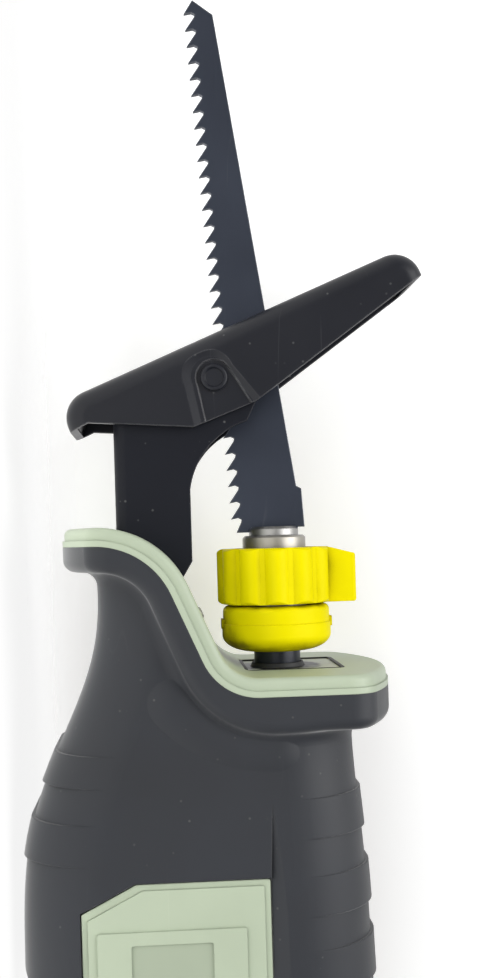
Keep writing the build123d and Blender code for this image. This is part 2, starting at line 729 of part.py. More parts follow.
with BuildPart() as nose_trim:
    add(trim_band.part)
    fillet(nose_trim.edges().filter_by(on_front), 1.6)
    add((behind_nose(TRIM_DEPTH - TRIM_RIM) - behind_trim) & flange_prism(0))
    with BuildSketch(across(-2 * TRIM_DEPTH)):
        with Locations((0, (SEAL_LOW + SEAL_HIGH) / 2)):
            RectangleRounded(2 * SEAL_HALF + 0.2, SEAL_HIGH - SEAL_LOW + 0.2, 2.0)
    extrude(amount=4 * TRIM_DEPTH, mode=Mode.SUBTRACT)
    with BuildSketch(across(-TRIM_DEPTH)):
        with Locations((0, (BRACKET_WEB_Z + CHEEK_EDGE_Z) / 2)):
            Rectangle(2 * BRACKET_HALF + 2 * GAP, CHEEK_EDGE_Z - BRACKET_WEB_Z + 2 * GAP)
            with Locations((0, BRACKET_SHEET + GAP)):
                Rectangle(
                    2 * (BRACKET_HALF - BRACKET_SHEET - GAP),
                    CHEEK_EDGE_Z - BRACKET_WEB_Z,
                    mode=Mode.SUBTRACT,
                )
    extrude(amount=2 * NOSE_STEP, mode=Mode.SUBTRACT)
    with BuildSketch(LENS_PLANE):
        Circle(LENS_R + 0.15)
    extrude(amount=2 * TRIM_DEPTH, both=True, mode=Mode.SUBTRACT)
nose_trim.part.label = "nose_trim"
export_step(nose_trim.part, "parts/nose_trim.step")

with BuildPart() as led_lens:
    with BuildSketch(LENS_PLANE):
        Circle(LENS_R)
    extrude(amount=LENS_PROUD)
    with BuildSketch(LENS_PLANE):
        Circle(LENS_R)
    extrude(amount=-TRIM_DEPTH)
    with BuildSketch(LENS_PLANE.offset(-TRIM_DEPTH)):
        Circle(LENS_R + 1.0)
    extrude(amount=-1.2)
    fillet(led_lens.faces().sort_by(Axis(LENS_PLANE.origin, LENS_PLANE.z_dir))[-1].edges(), LENS_PROUD - 0.05)
led_lens.part.label = "led_lens"
export_step(led_lens.part, "parts/led_lens.step")

# Dust seal where the plunger leaves the nose
with BuildPart() as seal_frame:
    with BuildSketch(across(-TRIM_DEPTH)):
        with Locations((0, (SEAL_LOW + SEAL_HIGH) / 2)):
            RectangleRounded(2 * SEAL_HALF, SEAL_HIGH - SEAL_LOW, 1.9)
            RectangleRounded(
                2 * (SEAL_HALF - SEAL_FRAME),
                SEAL_HIGH - SEAL_LOW - 2 * SEAL_FRAME,
                1.1,
                mode=Mode.SUBTRACT,
            )
    extrude(amount=TRIM_DEPTH + 0.1)
seal_frame.part.label = "seal_frame"
export_step(seal_frame.part, "parts/seal_frame.step")

WIPER_R = PLUNGER_R + 1.2
with BuildPart() as seal_plate:
    with BuildSketch(across(-TRIM_DEPTH)):
        with Locations((0, (SEAL_LOW + SEAL_HIGH) / 2)):
            RectangleRounded(
                2 * (SEAL_HALF - SEAL_FRAME),
                SEAL_HIGH - SEAL_LOW - 2 * SEAL_FRAME,
                1.1,
            )
        Circle(PLUNGER_R + 0.5, mode=Mode.SUBTRACT)
    extrude(amount=TRIM_DEPTH - SEAL_SET)
    with BuildSketch(across(0)):
        Circle(WIPER_R)
    extrude(amount=-2.2, mode=Mode.SUBTRACT)
seal_plate.part.label = "seal_plate"
export_step(seal_plate.part, "parts/seal_plate.step")

with BuildPart() as wiper_seal:
    with BuildSketch(across(-2.2)):
        Circle(WIPER_R)
    extrude(amount=1.8)
    with BuildSketch(across(-0.4)):
        Circle(PLUNGER_R + 1.0)
    extrude(amount=1.2, taper=18)
    with BuildSketch(across(-2.2)):
        Circle(PLUNGER_R + 0.3)
    extrude(amount=4, mode=Mode.SUBTRACT)
wiper_seal.part.label = "wiper_seal"
export_step(wiper_seal.part, "parts/wiper_seal.step")

# Cast frame that holds the plunger bushes, the gear axle, the motor and the shoe bracket
DECK_THICK = 4.0
TOWER_FRONT = -5.0
TOWER_LENGTH = 10.0
TOWER_HALF = 10.0
REAR_TOWER_FRONT = -82.0
BUSH_R = 8.0
AXLE_R = 4.0
SHAFT_R = 2.0
BLOCK_HALF = BRACKET_HALF - BRACKET_SHEET - 0.1
BLOCK_FRONT = 13.0
BOLT_X = 5.0
BOLT_Z = -31.0
BOLT_R = 2.5
BRACKET_REAR = 1.0
MOTOR_SCREW_R = 1.5
MOTOR_SCREW_SPAN = MOTOR_R - 6.0

with BuildPart() as gear_frame:
    with BuildSketch(level(MOTOR_TOP)):
        with Locations(((REAR_TOWER_FRONT - TOWER_LENGTH + TOWER_FRONT) / 2, 0)):
            Rectangle(TOWER_FRONT - REAR_TOWER_FRONT + TOWER_LENGTH, 4 * FLANGE_HALF)
    extrude(amount=DECK_THICK)
    add(skin(BODY, -WALL - 0.15), mode=Mode.INTERSECT)
    with BuildSketch(level(MOTOR_TOP)):
        with Locations((TOWER_FRONT - TOWER_LENGTH / 2, 0)):
            Rectangle(TOWER_LENGTH, 2 * TOWER_HALF)
        with Locations((REAR_TOWER_FRONT - TOWER_LENGTH / 2, 0)):
            Rectangle(TOWER_LENGTH, 2 * TOWER_HALF)
    extrude(amount=BUSH_R + 2.4 - MOTOR_TOP)
    with BuildSketch(SIDE):
        block_low = BRACKET_WEB_Z + BRACKET_SHEET + 0.1
        Polygon(
            (TOWER_FRONT - TOWER_LENGTH, block_low),
            (BLOCK_FRONT, block_low),
            (BLOCK_FRONT, MOTOR_TOP - 6),
            (TOWER_FRONT, MOTOR_TOP),
            (TOWER_FRONT - TOWER_LENGTH, MOTOR_TOP),
            align=None,
        )
    extrude(amount=BLOCK_HALF, both=True)
    chamfer(gear_frame.edges().filter_by(Axis.X).group_by(Axis.Z)[0], 0.8)
    with BuildSketch(across(REAR_TOWER_FRONT - TOWER_LENGTH)):
        Circle(BUSH_R)
    extrude(amount=2 * BELLY_DEPTH, mode=Mode.SUBTRACT)
    with BuildSketch(level(MOTOR_TOP)):
        with Locations((GEAR_X, 0)):
            Circle(AXLE_R)
        with Locations((MOTOR_X, 0)):
            Circle(7.0)
            with PolarLocations(MOTOR_SCREW_SPAN, 2, start_angle=90):
                Circle(MOTOR_SCREW_R)
    extrude(amount=DECK_THICK, mode=Mode.SUBTRACT)
    with BuildSketch(SIDE):
        with Locations((BOLT_X, BOLT_Z)):
            Circle(BOLT_R)
    extrude(amount=BLOCK_HALF, both=True, mode=Mode.SUBTRACT)
gear_frame.part.label = "gear_frame"
export_step(gear_frame.part, "parts/gear_frame.step")

with BuildPart() as front_bush:
    with BuildSketch(across(TOWER_FRONT - TOWER_LENGTH)):
        Circle(BUSH_R)
        Circle(PLUNGER_R + RUN_FIT, mode=Mode.SUBTRACT)
    extrude(amount=TOWER_LENGTH)
front_bush.part.label = "front_bush"
export_step(front_bush.part, "parts/front_bush.step")

with BuildPart() as rear_bush:
    with BuildSketch(across(REAR_TOWER_FRONT - TOWER_LENGTH)):
        Circle(BUSH_R)
        Circle(PLUNGER_R + RUN_FIT, mode=Mode.SUBTRACT)
    extrude(amount=TOWER_LENGTH)
rear_bush.part.label = "rear_bush"
export_step(rear_bush.part, "parts/rear_bush.step")

GEAR_TOP = GEAR_LOW + GEAR_THICK
with BuildPart() as gear_axle:
    with BuildSketch(level(MOTOR_TOP)):
        with Locations((GEAR_X, 0)):
            Circle(AXLE_R)
    extrude(amount=GEAR_TOP + 0.4 - MOTOR_TOP)
gear_axle.part.label = "gear_axle"
export_step(gear_axle.part, "parts/gear_axle.step")

# Crank gear with its pin and roller, drawn at the rear dead centre
PIN_R = 3.0
ROLLER_R = 4.2
ROLLER_LOW = -7.6
ROLLER_TOP = 2.0
GEAR_PLANE = Plane(origin=(NOSE_X + GEAR_X, 0, AXIS_Z + GEAR_LOW))
with BuildPart() as crank_gear:
    with BuildSketch(GEAR_PLANE):
        Polygon(*gear_outline(GEAR_TEETH, math.pi / GEAR_TEETH), align=None)
        Circle(AXLE_R + RUN_FIT, mode=Mode.SUBTRACT)
        with Locations((-CRANK_R, 0)):
            Circle(PIN_R, mode=Mode.SUBTRACT)
        with PolarLocations(11.0, 3, start_angle=-60, angular_range=120, endpoint=True):
            Circle(3.2, mode=Mode.SUBTRACT)
    extrude(amount=GEAR_THICK)
crank_gear.part.label = "crank_gear"
export_step(crank_gear.part, "parts/crank_gear.step")

with BuildPart() as crank_pin:
    with BuildSketch(GEAR_PLANE):
        with Locations((-CRANK_R, 0)):
            Circle(PIN_R)
    extrude(amount=ROLLER_TOP + 0.4 - GEAR_LOW)
crank_pin.part.label = "crank_pin"
export_step(crank_pin.part, "parts/crank_pin.step")

with BuildPart() as crank_roller:
    with BuildSketch(level(ROLLER_LOW)):
        with Locations((GEAR_X - CRANK_R, 0)):
            Circle(ROLLER_R)
            Circle(PIN_R + 0.05, mode=Mode.SUBTRACT)
    extrude(amount=ROLLER_TOP - ROLLER_LOW)
crank_roller.part.label = "crank_roller"
export_step(crank_roller.part, "parts/crank_roller.step")

# Plunger with a slotted yoke, drawn fully back
YOKE_X = GEAR_X - CRANK_R
YOKE_PLAY = 2.5           # play of the roller along the slot's short side
YOKE_HALF_Y = 19.0
YOKE_BAR = 4.0
YOKE_LOW = -7.2
YOKE_TOP = 4.2
TAIL_END = -104.0
SPIGOT_R = 4.5
SPIGOT_FRONT = 11.5
CLAMP_REAR = 5.0
yoke_half_x = ROLLER_R + YOKE_PLAY + YOKE_BAR
with BuildPart() as plunger:
    with BuildSketch(across(TAIL_END)):
        Circle(PLUNGER_R)
    extrude(amount=CLAMP_REAR - TAIL_END)
    chamfer(plunger.faces().sort_by(Axis.X)[0].edges(), 1.0)
    with BuildSketch(across(CLAMP_REAR)):
        Circle(SPIGOT_R)
    extrude(amount=SPIGOT_FRONT - CLAMP_REAR)
    with BuildSketch(level(YOKE_LOW)):
        with Locations((YOKE_X, 0)):
            RectangleRounded(2 * yoke_half_x, 2 * YOKE_HALF_Y, 4.0)
    extrude(amount=YOKE_TOP - YOKE_LOW)
    with BuildSketch(level(-BELLY_DEPTH / 2)):
        with Locations((YOKE_X, 0)):
            RectangleRounded(2 * (ROLLER_R + YOKE_PLAY), 2 * (CRANK_R + ROLLER_R + 0.6), 2.0)
    extrude(amount=BELLY_DEPTH, mode=Mode.SUBTRACT)
plunger.part.label = "plunger"
export_step(plunger.part, "parts/plunger.step")

# Motor: can, magnets and end cap stand still, the armature, shaft and pinion turn
MOTOR_LOW = MOTOR_TOP - MOTOR_LENGTH
CAN_WALL = 1.6
CAP_R = MOTOR_R - 3.0
CAP_LOW = MOTOR_LOW - 4.0
MAGNET_THICK = 3.0
AIR_GAP = 0.8             # between the magnets and the armature
MAGNET_IN = MOTOR_R - CAN_WALL - MAGNET_THICK
ARMATURE_R = MAGNET_IN - AIR_GAP


def motor_level(z):
    """Level plane at z with its origin on the motor axis."""
    return Plane(origin=(NOSE_X + MOTOR_X, 0, AXIS_Z + z))


with BuildPart() as motor_can:
    with BuildSketch(motor_level(MOTOR_LOW)):
        Circle(MOTOR_R)
    extrude(amount=MOTOR_LENGTH)
    fillet(motor_can.faces().sort_by(Axis.Z)[-1].edges(), 2.0)
    with BuildSketch(motor_level(MOTOR_LOW)):
        Circle(MOTOR_R - CAN_WALL)
    extrude(amount=MOTOR_LENGTH - CAN_WALL, mode=Mode.SUBTRACT)
    with BuildSketch(motor_level(MOTOR_TOP)):
        Circle(6.0)
    extrude(amount=2.0)
    with BuildSketch(motor_level(MOTOR_LOW)):
        Circle(SHAFT_R + RUN_FIT)
        with PolarLocations(MOTOR_SCREW_SPAN, 2, start_angle=90):
            Circle(MOTOR_SCREW_R)
    extrude(amount=MOTOR_LENGTH + 4, mode=Mode.SUBTRACT)
motor_can.part.label = "motor_can"
export_step(motor_can.part, "parts/motor_can.step")

with BuildPart() as motor_magnets:
    with BuildSketch(motor_level(MOTOR_LOW + 5)):
        Circle(MOTOR_R - CAN_WALL)
        Circle(MAGNET_IN, mode=Mode.SUBTRACT)
        Rectangle(4 * MOTOR_R, 14.0, mode=Mode.SUBTRACT)
    extrude(amount=MOTOR_LENGTH - 12)
motor_magnets.part.label = "motor_magnets"
export_step(motor_magnets.part, "parts/motor_magnets.step")

with BuildPart() as motor_cap:
    with BuildSketch(motor_level(CAP_LOW)):
        Circle(CAP_R)
    extrude(amount=MOTOR_LOW - CAP_LOW)
    with BuildSketch(motor_level(MOTOR_LOW)):
        Circle(MOTOR_R - CAN_WALL)
    extrude(amount=3.0)
    with BuildSketch(motor_level(CAP_LOW + 2)):
        Circle(6.0)
        Rectangle(22.4, 4.4)
    extrude(amount=MOTOR_LENGTH, mode=Mode.SUBTRACT)
    with BuildSketch(motor_level(CAP_LOW + 0.6)):
        Circle(SHAFT_R + RUN_FIT)
    extrude(amount=MOTOR_LENGTH, mode=Mode.SUBTRACT)
motor_cap.part.label = "motor_cap"
export_step(motor_cap.part, "parts/motor_cap.step")

COMMUTATOR_R = 4.6
with BuildPart() as motor_brushes:
    with BuildSketch(motor_level(CAP_LOW + 2)):
        with PolarLocations((COMMUTATOR_R + 11.2) / 2 + 0.2, 2):
            Rectangle(11.2 - COMMUTATOR_R - 0.4, 4.0)
    extrude(amount=4.6)
motor_brushes.part.label = "motor_brushes"
export_step(motor_brushes.part, "parts/motor_brushes.step")

with BuildPart() as commutator:
    with BuildSketch(motor_level(CAP_LOW + 2.4)):
        Circle(COMMUTATOR_R)
        Circle(SHAFT_R, mode=Mode.SUBTRACT)
    extrude(amount=5.4)
commutator.part.label = "commutator"
export_step(commutator.part, "parts/commutator.step")

with BuildPart() as armature:
    with BuildSketch(motor_level(MOTOR_LOW + 6)):
        Circle(ARMATURE_R)
        Circle(SHAFT_R, mode=Mode.SUBTRACT)
        with PolarLocations(ARMATURE_R - 2.6, 5):
            Rectangle(6.4, 1.6, mode=Mode.SUBTRACT)
            Circle(2.6, mode=Mode.SUBTRACT)
    extrude(amount=MOTOR_LENGTH - 14)
armature.part.label = "armature"
export_step(armature.part, "parts/armature.step")

with BuildPart() as windings:
    with BuildSketch(motor_level(MOTOR_LOW + 6)):
        with PolarLocations(ARMATURE_R - 2.6, 5):
            Circle(2.4)
    extrude(amount=MOTOR_LENGTH - 14)
    for z in (MOTOR_LOW + 4, MOTOR_TOP - 8):
        with BuildSketch(motor_level(z)):
            Circle(ARMATURE_R - 1.2)
            Circle(SHAFT_R + 0.6, mode=Mode.SUBTRACT)
        extrude(amount=2.0)
windings.part.label = "windings"
export_step(windings.part, "parts/windings.step")

with BuildPart() as motor_shaft:
    with BuildSketch(motor_level(CAP_LOW + 1.0)):
        Circle(SHAFT_R)
    extrude(amount=GEAR_TOP - CAP_LOW - 1.0)
motor_shaft.part.label = "motor_shaft"
export_step(motor_shaft.part, "parts/motor_shaft.step")

with BuildPart() as pinion:
    with BuildSketch(motor_level(GEAR_LOW - 1)):
        Polygon(*gear_outline(PINION_TEETH, 0), align=None)
        Circle(SHAFT_R, mode=Mode.SUBTRACT)
    extrude(amount=GEAR_THICK + 1)
pinion.part.label = "pinion"
export_step(pinion.part, "parts/pinion.step")

with BuildPart() as motor_screws:
    for side in (-1, 1):
        with BuildSketch(motor_level(MOTOR_TOP - CAN_WALL)):
            with Locations((0, side * MOTOR_SCREW_SPAN)):
                Circle(MOTOR_SCREW_R)
        extrude(amount=CAN_WALL + DECK_THICK)
        with BuildSketch(motor_level(MOTOR_TOP + DECK_THICK)):
            with Locations((0, side * MOTOR_SCREW_SPAN)):
                Circle(2 * MOTOR_SCREW_R - 0.2)
        extrude(amount=1.4)
motor_screws.part.label = "motor_screws"
export_step(motor_screws.part, "parts/motor_screws.step")

# Blade clamp: steel body, yellow cover, twisting collar, spring and lock pin
CLAMP_FRONT = 33.5
CLAMP_NOSE_R = 6.4
CLAMP_NOSE = 35.8
TANG_HOLE_X = 23.0
LOCK_PIN_R = 2.0
COLLAR_PLAY = 0.08
RIDGE_R = 3.4             # round of a ridge on the collar
GROOVE_R = 13.7           # radius at the bottom of its grooves
RIDGE_TURN = -3.0         # turn of the first ridge in degrees
LEVER_WIDTH = 9.0
LEVER_SLOPE = 2.0         # how far the front of the lever falls back at its end
DOME_ROUND = 4.2          # length of the rounded rear of the cover
COVER_WALL = 1.8
COVER_BORE_R = PLUNGER_R + 0.8

with BuildPart() as clamp_body:
    with BuildSketch(across(CLAMP_REAR)):
        Circle(CLAMP_R)
    extrude(amount=CLAMP_FRONT - CLAMP_REAR)
    chamfer(clamp_body.faces().sort_by(Axis.X)[-1].edges(), 0.6)
    with BuildSketch(across(CLAMP_FRONT)):
        Circle(CLAMP_NOSE_R)
    extrude(amount=CLAMP_NOSE - CLAMP_FRONT)
    chamfer(clamp_body.faces().sort_by(Axis.X)[-1].edges(), 0.7)
    with BuildSketch(across(TANG_REAR - 0.2)):
        Rectangle(BLADE_THICK + 0.3, TANG_WIDTH + 0.3)
    extrude(amount=CLAMP_NOSE, mode=Mode.SUBTRACT)
    with BuildSketch(across(CLAMP_REAR)):
        Circle(SPIGOT_R)
    extrude(amount=SPIGOT_FRONT - CLAMP_REAR, mode=Mode.SUBTRACT)
    with BuildSketch(flank(0)):
        with Locations((-TANG_HOLE_X, 0)):
            Circle(LOCK_PIN_R)
    extrude(amount=2 * CLAMP_R, mode=Mode.SUBTRACT)
clamp_body.part.label = "clamp_body"
export_step(clamp_body.part, "parts/clamp_body.step")

with BuildPart() as clamp_pin:
    with BuildSketch(flank(-BLADE_THICK / 2)):
        with Locations((-TANG_HOLE_X, 0)):
            Circle(LOCK_PIN_R - 0.05)
    extrude(amount=CLAMP_R + BLADE_THICK / 2 - 0.4)
clamp_pin.part.label = "clamp_pin"
export_step(clamp_pin.part, "parts/clamp_pin.step")

# Half section of the cover behind the collar, x then radius
with BuildPart() as clamp_cover:
    with BuildSketch(SIDE):
        with BuildLine():
            rear_round = EllipticalCenterArc(
                (DOME_REAR + DOME_ROUND, COVER_BORE_R),
                DOME_ROUND,
                DOME_R - COVER_BORE_R,
                start_angle=90,
                arc_size=90,
            )
            rim = ThreePointArc(
                (DOME_FRONT - 1.5, DOME_R - 0.3),
                (DOME_FRONT - 0.44, DOME_R - 0.74),
                (DOME_FRONT, DOME_R - 1.8),
            )
            Polyline(
                rear_round @ 0,
                (DOME_FRONT - 4.7, DOME_R),
                (DOME_FRONT - 4.5, DOME_R - 0.3),
                rim @ 0,
            )
            Polyline(
                rim @ 1,
                (DOME_FRONT, DOME_R - 0.5 - COVER_WALL),
                (DOME_REAR + 6.4, DOME_R - COVER_WALL - 0.5),
                (DOME_REAR + 2.4, CLAMP_R + 0.5),
                (DOME_REAR + 2.4, CLAMP_R),
                (DOME_REAR + 1.2, CLAMP_R),
                (DOME_REAR + 1.2, COVER_BORE_R),
                rear_round @ 1,
            )
        make_face()
    revolve(axis=Axis((NOSE_X, 0, AXIS_Z), (1, 0, 0)))
    for side in (-1, 1):
        with BuildSketch(level(side * (DOME_R - 0.7))):
            with Locations((DOME_FRONT - 4.6, 0)):
                RectangleRounded(2.6, 5.0, 0.8)
        extrude(amount=side * 0.9)
clamp_cover.part.label = "clamp_cover"
export_step(clamp_cover.part, "parts/clamp_cover.step")

SPRING_R = CLAMP_R + 2.2
SPRING_WIRE = 0.6
SPRING_TURNS = 2.5
SPRING_PITCH = 1.6
SPRING_REAR = DOME_REAR + 6.6
with BuildPart() as clamp_spring:
    with BuildLine() as coil:
        Helix(
            SPRING_PITCH,
            SPRING_PITCH * SPRING_TURNS,
            SPRING_R,
            center=(NOSE_X + SPRING_REAR, 0, AXIS_Z),
            direction=(1, 0, 0),
        )
    with BuildSketch(Plane(origin=coil.line @ 0, z_dir=coil.line % 0)):
        Circle(SPRING_WIRE)
    sweep(is_frenet=True)
clamp_spring.part.label = "clamp_spring"
export_step(clamp_spring.part, "parts/clamp_spring.step")

# Lever of the collar, and the barrel that softens the ends of its ridges
with BuildPart() as lever:
    with BuildSketch(SIDE):
        Polygon(
            (COLLAR_REAR, CLAMP_R + 2),
            (COLLAR_REAR, LEVER_REACH),
            (COLLAR_FRONT - LEVER_SLOPE, LEVER_REACH),
            (COLLAR_FRONT - 0.2, COLLAR_R - 1),
            (COLLAR_FRONT - 0.2, CLAMP_R + 2),
            align=None,
        )
    extrude(amount=LEVER_WIDTH / 2, both=True)
    fillet(lever.faces().sort_by(Axis.Z)[-1].edges(), 0.8)

with BuildPart() as collar_barrel:
    with BuildSketch(SIDE):
        with Locations(((COLLAR_REAR + COLLAR_FRONT) / 2, 0)):
            RectangleRounded(COLLAR_FRONT - COLLAR_REAR, 2 * COLLAR_R + 0.6, 1.9)
        with Locations((COLLAR_REAR, -COLLAR_R)):
            Rectangle(COLLAR_FRONT, 2 * COLLAR_R, mode=Mode.SUBTRACT)
    revolve(axis=Axis((NOSE_X, 0, AXIS_Z), (1, 0, 0)))

with BuildPart() as clamp_collar:
    with BuildSketch(across(COLLAR_REAR)):
        Circle(GROOVE_R)
        with PolarLocations(COLLAR_R - RIDGE_R, COLLAR_RIBS, start_angle=RIDGE_TURN):
            Circle(RIDGE_R)
    extrude(amount=COLLAR_FRONT - COLLAR_REAR)
    add(collar_barrel.part, mode=Mode.INTERSECT)
    add(lever.part)
    with BuildSketch(across(COLLAR_REAR)):
        Circle(CLAMP_R + COLLAR_PLAY)
    extrude(amount=COLLAR_FRONT, mode=Mode.SUBTRACT)
    with BuildSketch(across(COLLAR_FRONT)):
        Circle(CLAMP_R + 2.6)
        Circle(CLAMP_R, mode=Mode.SUBTRACT)
    extrude(amount=-1.0, mode=Mode.SUBTRACT)
clamp_collar.part.label = "clamp_collar"
export_step(clamp_collar.part, "parts/clamp_collar.step")

# Blade with hooked teeth that point back to the saw
SPINE_FRONT = (TOOTH_FRONT_X - 0.2, TOOTH_FRONT_Z + 7.5)
SPINE_REAR = (46.2, 6.2)
SPINE_STEP = (45.5, 7.5)
SHOULDER_X = 35.5
HEEL_X = 34.4             # lower rear corner behind the last tooth
HEEL_RISE = 1.1765        # how far that corner lies above the tooth line
TIP = (BLADE_REACH, TOOTH_FRONT_Z + 2.3)
HOOK_SET_BACK = 0.25      # how far the root lies in front of the tooth tip
TANG_ROUND = 2.0

slope_x = math.cos(math.radians(TOOTH_SLOPE))
slope_z = math.sin(math.radians(TOOTH_SLOPE))
tooth_run = (TOOTH_FRONT_X - HEEL_X) / slope_x
TOOTH_COUNT = int(tooth_run / TOOTH_PITCH) + 1
HEEL = (HEEL_X, TOOTH_FRONT_Z + tooth_run * slope_z + HEEL_RISE)


def tooth_point(back, inward):
    """Point of the tooth line: distance back from the front tip, then into the blade."""
    x = TOOTH_FRONT_X - back * slope_x + inward * slope_z
    z = TOOTH_FRONT_Z + back * slope_z + inward * slope_x
    return (x, z)


teeth = []
for tooth in range(TOOTH_COUNT):
    start = tooth * TOOTH_PITCH
    teeth.append(tooth_point(start, 0))
    teeth.append(tooth_point(start - HOOK_SET_BACK, TOOTH_DEPTH * 0.7))
    teeth.append(tooth_point(start + 0.25, TOOTH_DEPTH))
    teeth.append(tooth_point(start + 0.95, TOOTH_DEPTH * 0.93))
teeth.append(HEEL)
half_tang = TANG_WIDTH / 2
with BuildPart() as blade:
    with BuildSketch(SIDE):
        Polygon(
            TIP,
            *teeth,
            (HEEL[0], -half_tang),
            (TANG_REAR + TANG_ROUND, -half_tang),
            (TANG_REAR, -half_tang + TANG_ROUND),
            (TANG_REAR, half_tang - TANG_ROUND),
            (TANG_REAR + TANG_ROUND, half_tang),
            (SHOULDER_X, half_tang),
            (SHOULDER_X, 8.1),
            SPINE_STEP,
            SPINE_REAR,
            SPINE_FRONT,
            align=None,
        )
        with Locations((TANG_HOLE_X, 0)):
            Circle(LOCK_PIN_R + 0.1, mode=Mode.SUBTRACT)
    extrude(amount=BLADE_THICK / 2, both=True)
blade.part.label = "blade"
export_step(blade.part, "parts/blade.step")

# Shoe bracket: a steel channel that straddles the blade
with BuildPart() as shoe_bracket:
    with BuildSketch(SIDE):
        with BuildLine():
            throat = ThreePointArc((45.5, CHEEK_EDGE_Z), (55.0, -17.6), (62.4, -6.9))
            Polyline(
                throat @ 1,
                (67.0, PIVOT_Z + EAR_R - 1.2),
                (PIVOT_X, PIVOT_Z + 7.8),
                (76.0, PIVOT_Z - 7.2),
                (66.5, -36.5),
                (63.0, BRACKET_WEB_Z),
                (BRACKET_REAR, BRACKET_WEB_Z),
                (BRACKET_REAR, CHEEK_EDGE_Z - 3.4),
                (22.0, CHEEK_EDGE_Z - 3.4),
                (27.6, CHEEK_EDGE_Z),
                throat @ 0,
            )
        make_face()
        with Locations((PIVOT_X, PIVOT_Z)):
            Circle(7.8)
            Circle(RIVET_R + RUN_FIT, mode=Mode.SUBTRACT)
        with Locations((BOLT_X, BOLT_Z)):
            Circle(BOLT_R, mode=Mode.SUBTRACT)
    extrude(amount=BRACKET_HALF, both=True)
    web_edges = shoe_bracket.edges().filter_by(Axis.X).group_by(Axis.Z)[0]
    fillet(web_edges, 3.0)
    with BuildSketch(across(0)):
        with Locations((0, BRACKET_WEB_Z + BRACKET_SHEET + BELLY_DEPTH / 2)):
            RectangleRounded(2 * (BRACKET_HALF - BRACKET_SHEET), BELLY_DEPTH, 0.8)
    extrude(amount=2 * BLADE_REACH, both=True, mode=Mode.SUBTRACT)
shoe_bracket.part.label = "shoe_bracket"
export_step(shoe_bracket.part, "parts/shoe_bracket.step")

with BuildPart() as bracket_bolt:
    with BuildSketch(SIDE):
        with Locations((BOLT_X, BOLT_Z)):
            Circle(BOLT_R)
    extrude(amount=BRACKET_HALF, both=True)
    for side in (-1, 1):
        with BuildSketch(flank(side * BRACKET_HALF)):
            with Locations((-BOLT_X, BOLT_Z)):
                RegularPolygon(4.6, 6)
        extrude(amount=side * 3.0)
bracket_bolt.part.label = "bracket_bolt"
export_step(bracket_bolt.part, "parts/bracket_bolt.step")

# Shoe: a pressed steel tray that swings on two rivets, drawn at the tilt in the photograph
tilt = math.radians(SHOE_TILT)
ALONG = (math.sin(tilt), 0, math.cos(tilt))
FORWARD = (math.cos(tilt), 0, -math.sin(tilt))
PIVOT = (NOSE_X + PIVOT_X, 0, AXIS_Z + PIVOT_Z)
SHOE_SIDE = Plane(origin=PIVOT, x_dir=ALONG, z_dir=(0, 1, 0))
SHOE_FRONT = Plane(origin=PIVOT, x_dir=ALONG, z_dir=FORWARD)
SHOE_ROUND = 4.5          # round of the pressed edges
EAR_PRESS = 1.1           # depth of the pressed recess round each rivet
PRESS_SLOPE = 0.5         # depth where its slope ends in a step
PRESS_R = 4.5             # radius of its floor
PRESS_EDGE_R = 6.5        # radius where its slope meets the side
PRESS_SHIFT = 1.1         # how far the slope is wider towards the front and the low end
RIVET_HEAD = 1.3          # height of a rivet head
RIVET_DISH = 0.5          # depth of the dish in it
SLOT_LOW = -7.5
SLOT_HIGH = 33.0
SLOT_HALF = 4.2


def round_edge(edge):
    """True for the front and end edges of the shoe's two sides."""
    middle = SHOE_SIDE.to_local_coords(edge @ 0.5)
    on_side = abs(abs(middle.Z) - SHOE_HALF) < 0.01
    at_front = middle.Y > SHOE_FACE - 6.5
    return on_side and at_front


def press_outline(plane, radius, shift):
    """Arch round the rivet that opens towards the free edge of the ear."""
    with BuildSketch(plane) as arch:
        with BuildLine():
            bow = CenterArc((-shift, shift), radius, 0, 180)
            Polyline(
                bow @ 1,
                (-shift - radius - 2.2, -SHOE_FACE),
                (shift / 2 + radius + 1.6, -SHOE_FACE),
                bow @ 0,
            )
        make_face()
    return arch.sketch


def ear_press(side):
    """Sloped rim of the pressed recess of one ear."""
    with BuildPart() as press:
        add(press_outline(SHOE_SIDE.offset(side * SHOE_HALF), PRESS_EDGE_R, PRESS_SHIFT))
        add(press_outline(SHOE_SIDE.offset(side * (SHOE_HALF - PRESS_SLOPE)), PRESS_R + 0.5, PRESS_SHIFT / 2))
        loft(ruled=True)
    return press.part


def ear_floor(side):
    """Steeper middle of a pressed recess, down to the floor that carries the rivet."""
    with BuildPart() as pocket:
        add(press_outline(SHOE_SIDE.offset(side * (SHOE_HALF - EAR_PRESS)), PRESS_R, 0))
        extrude(amount=2 * EAR_PRESS, dir=(0, side, 0))
    return pocket.part


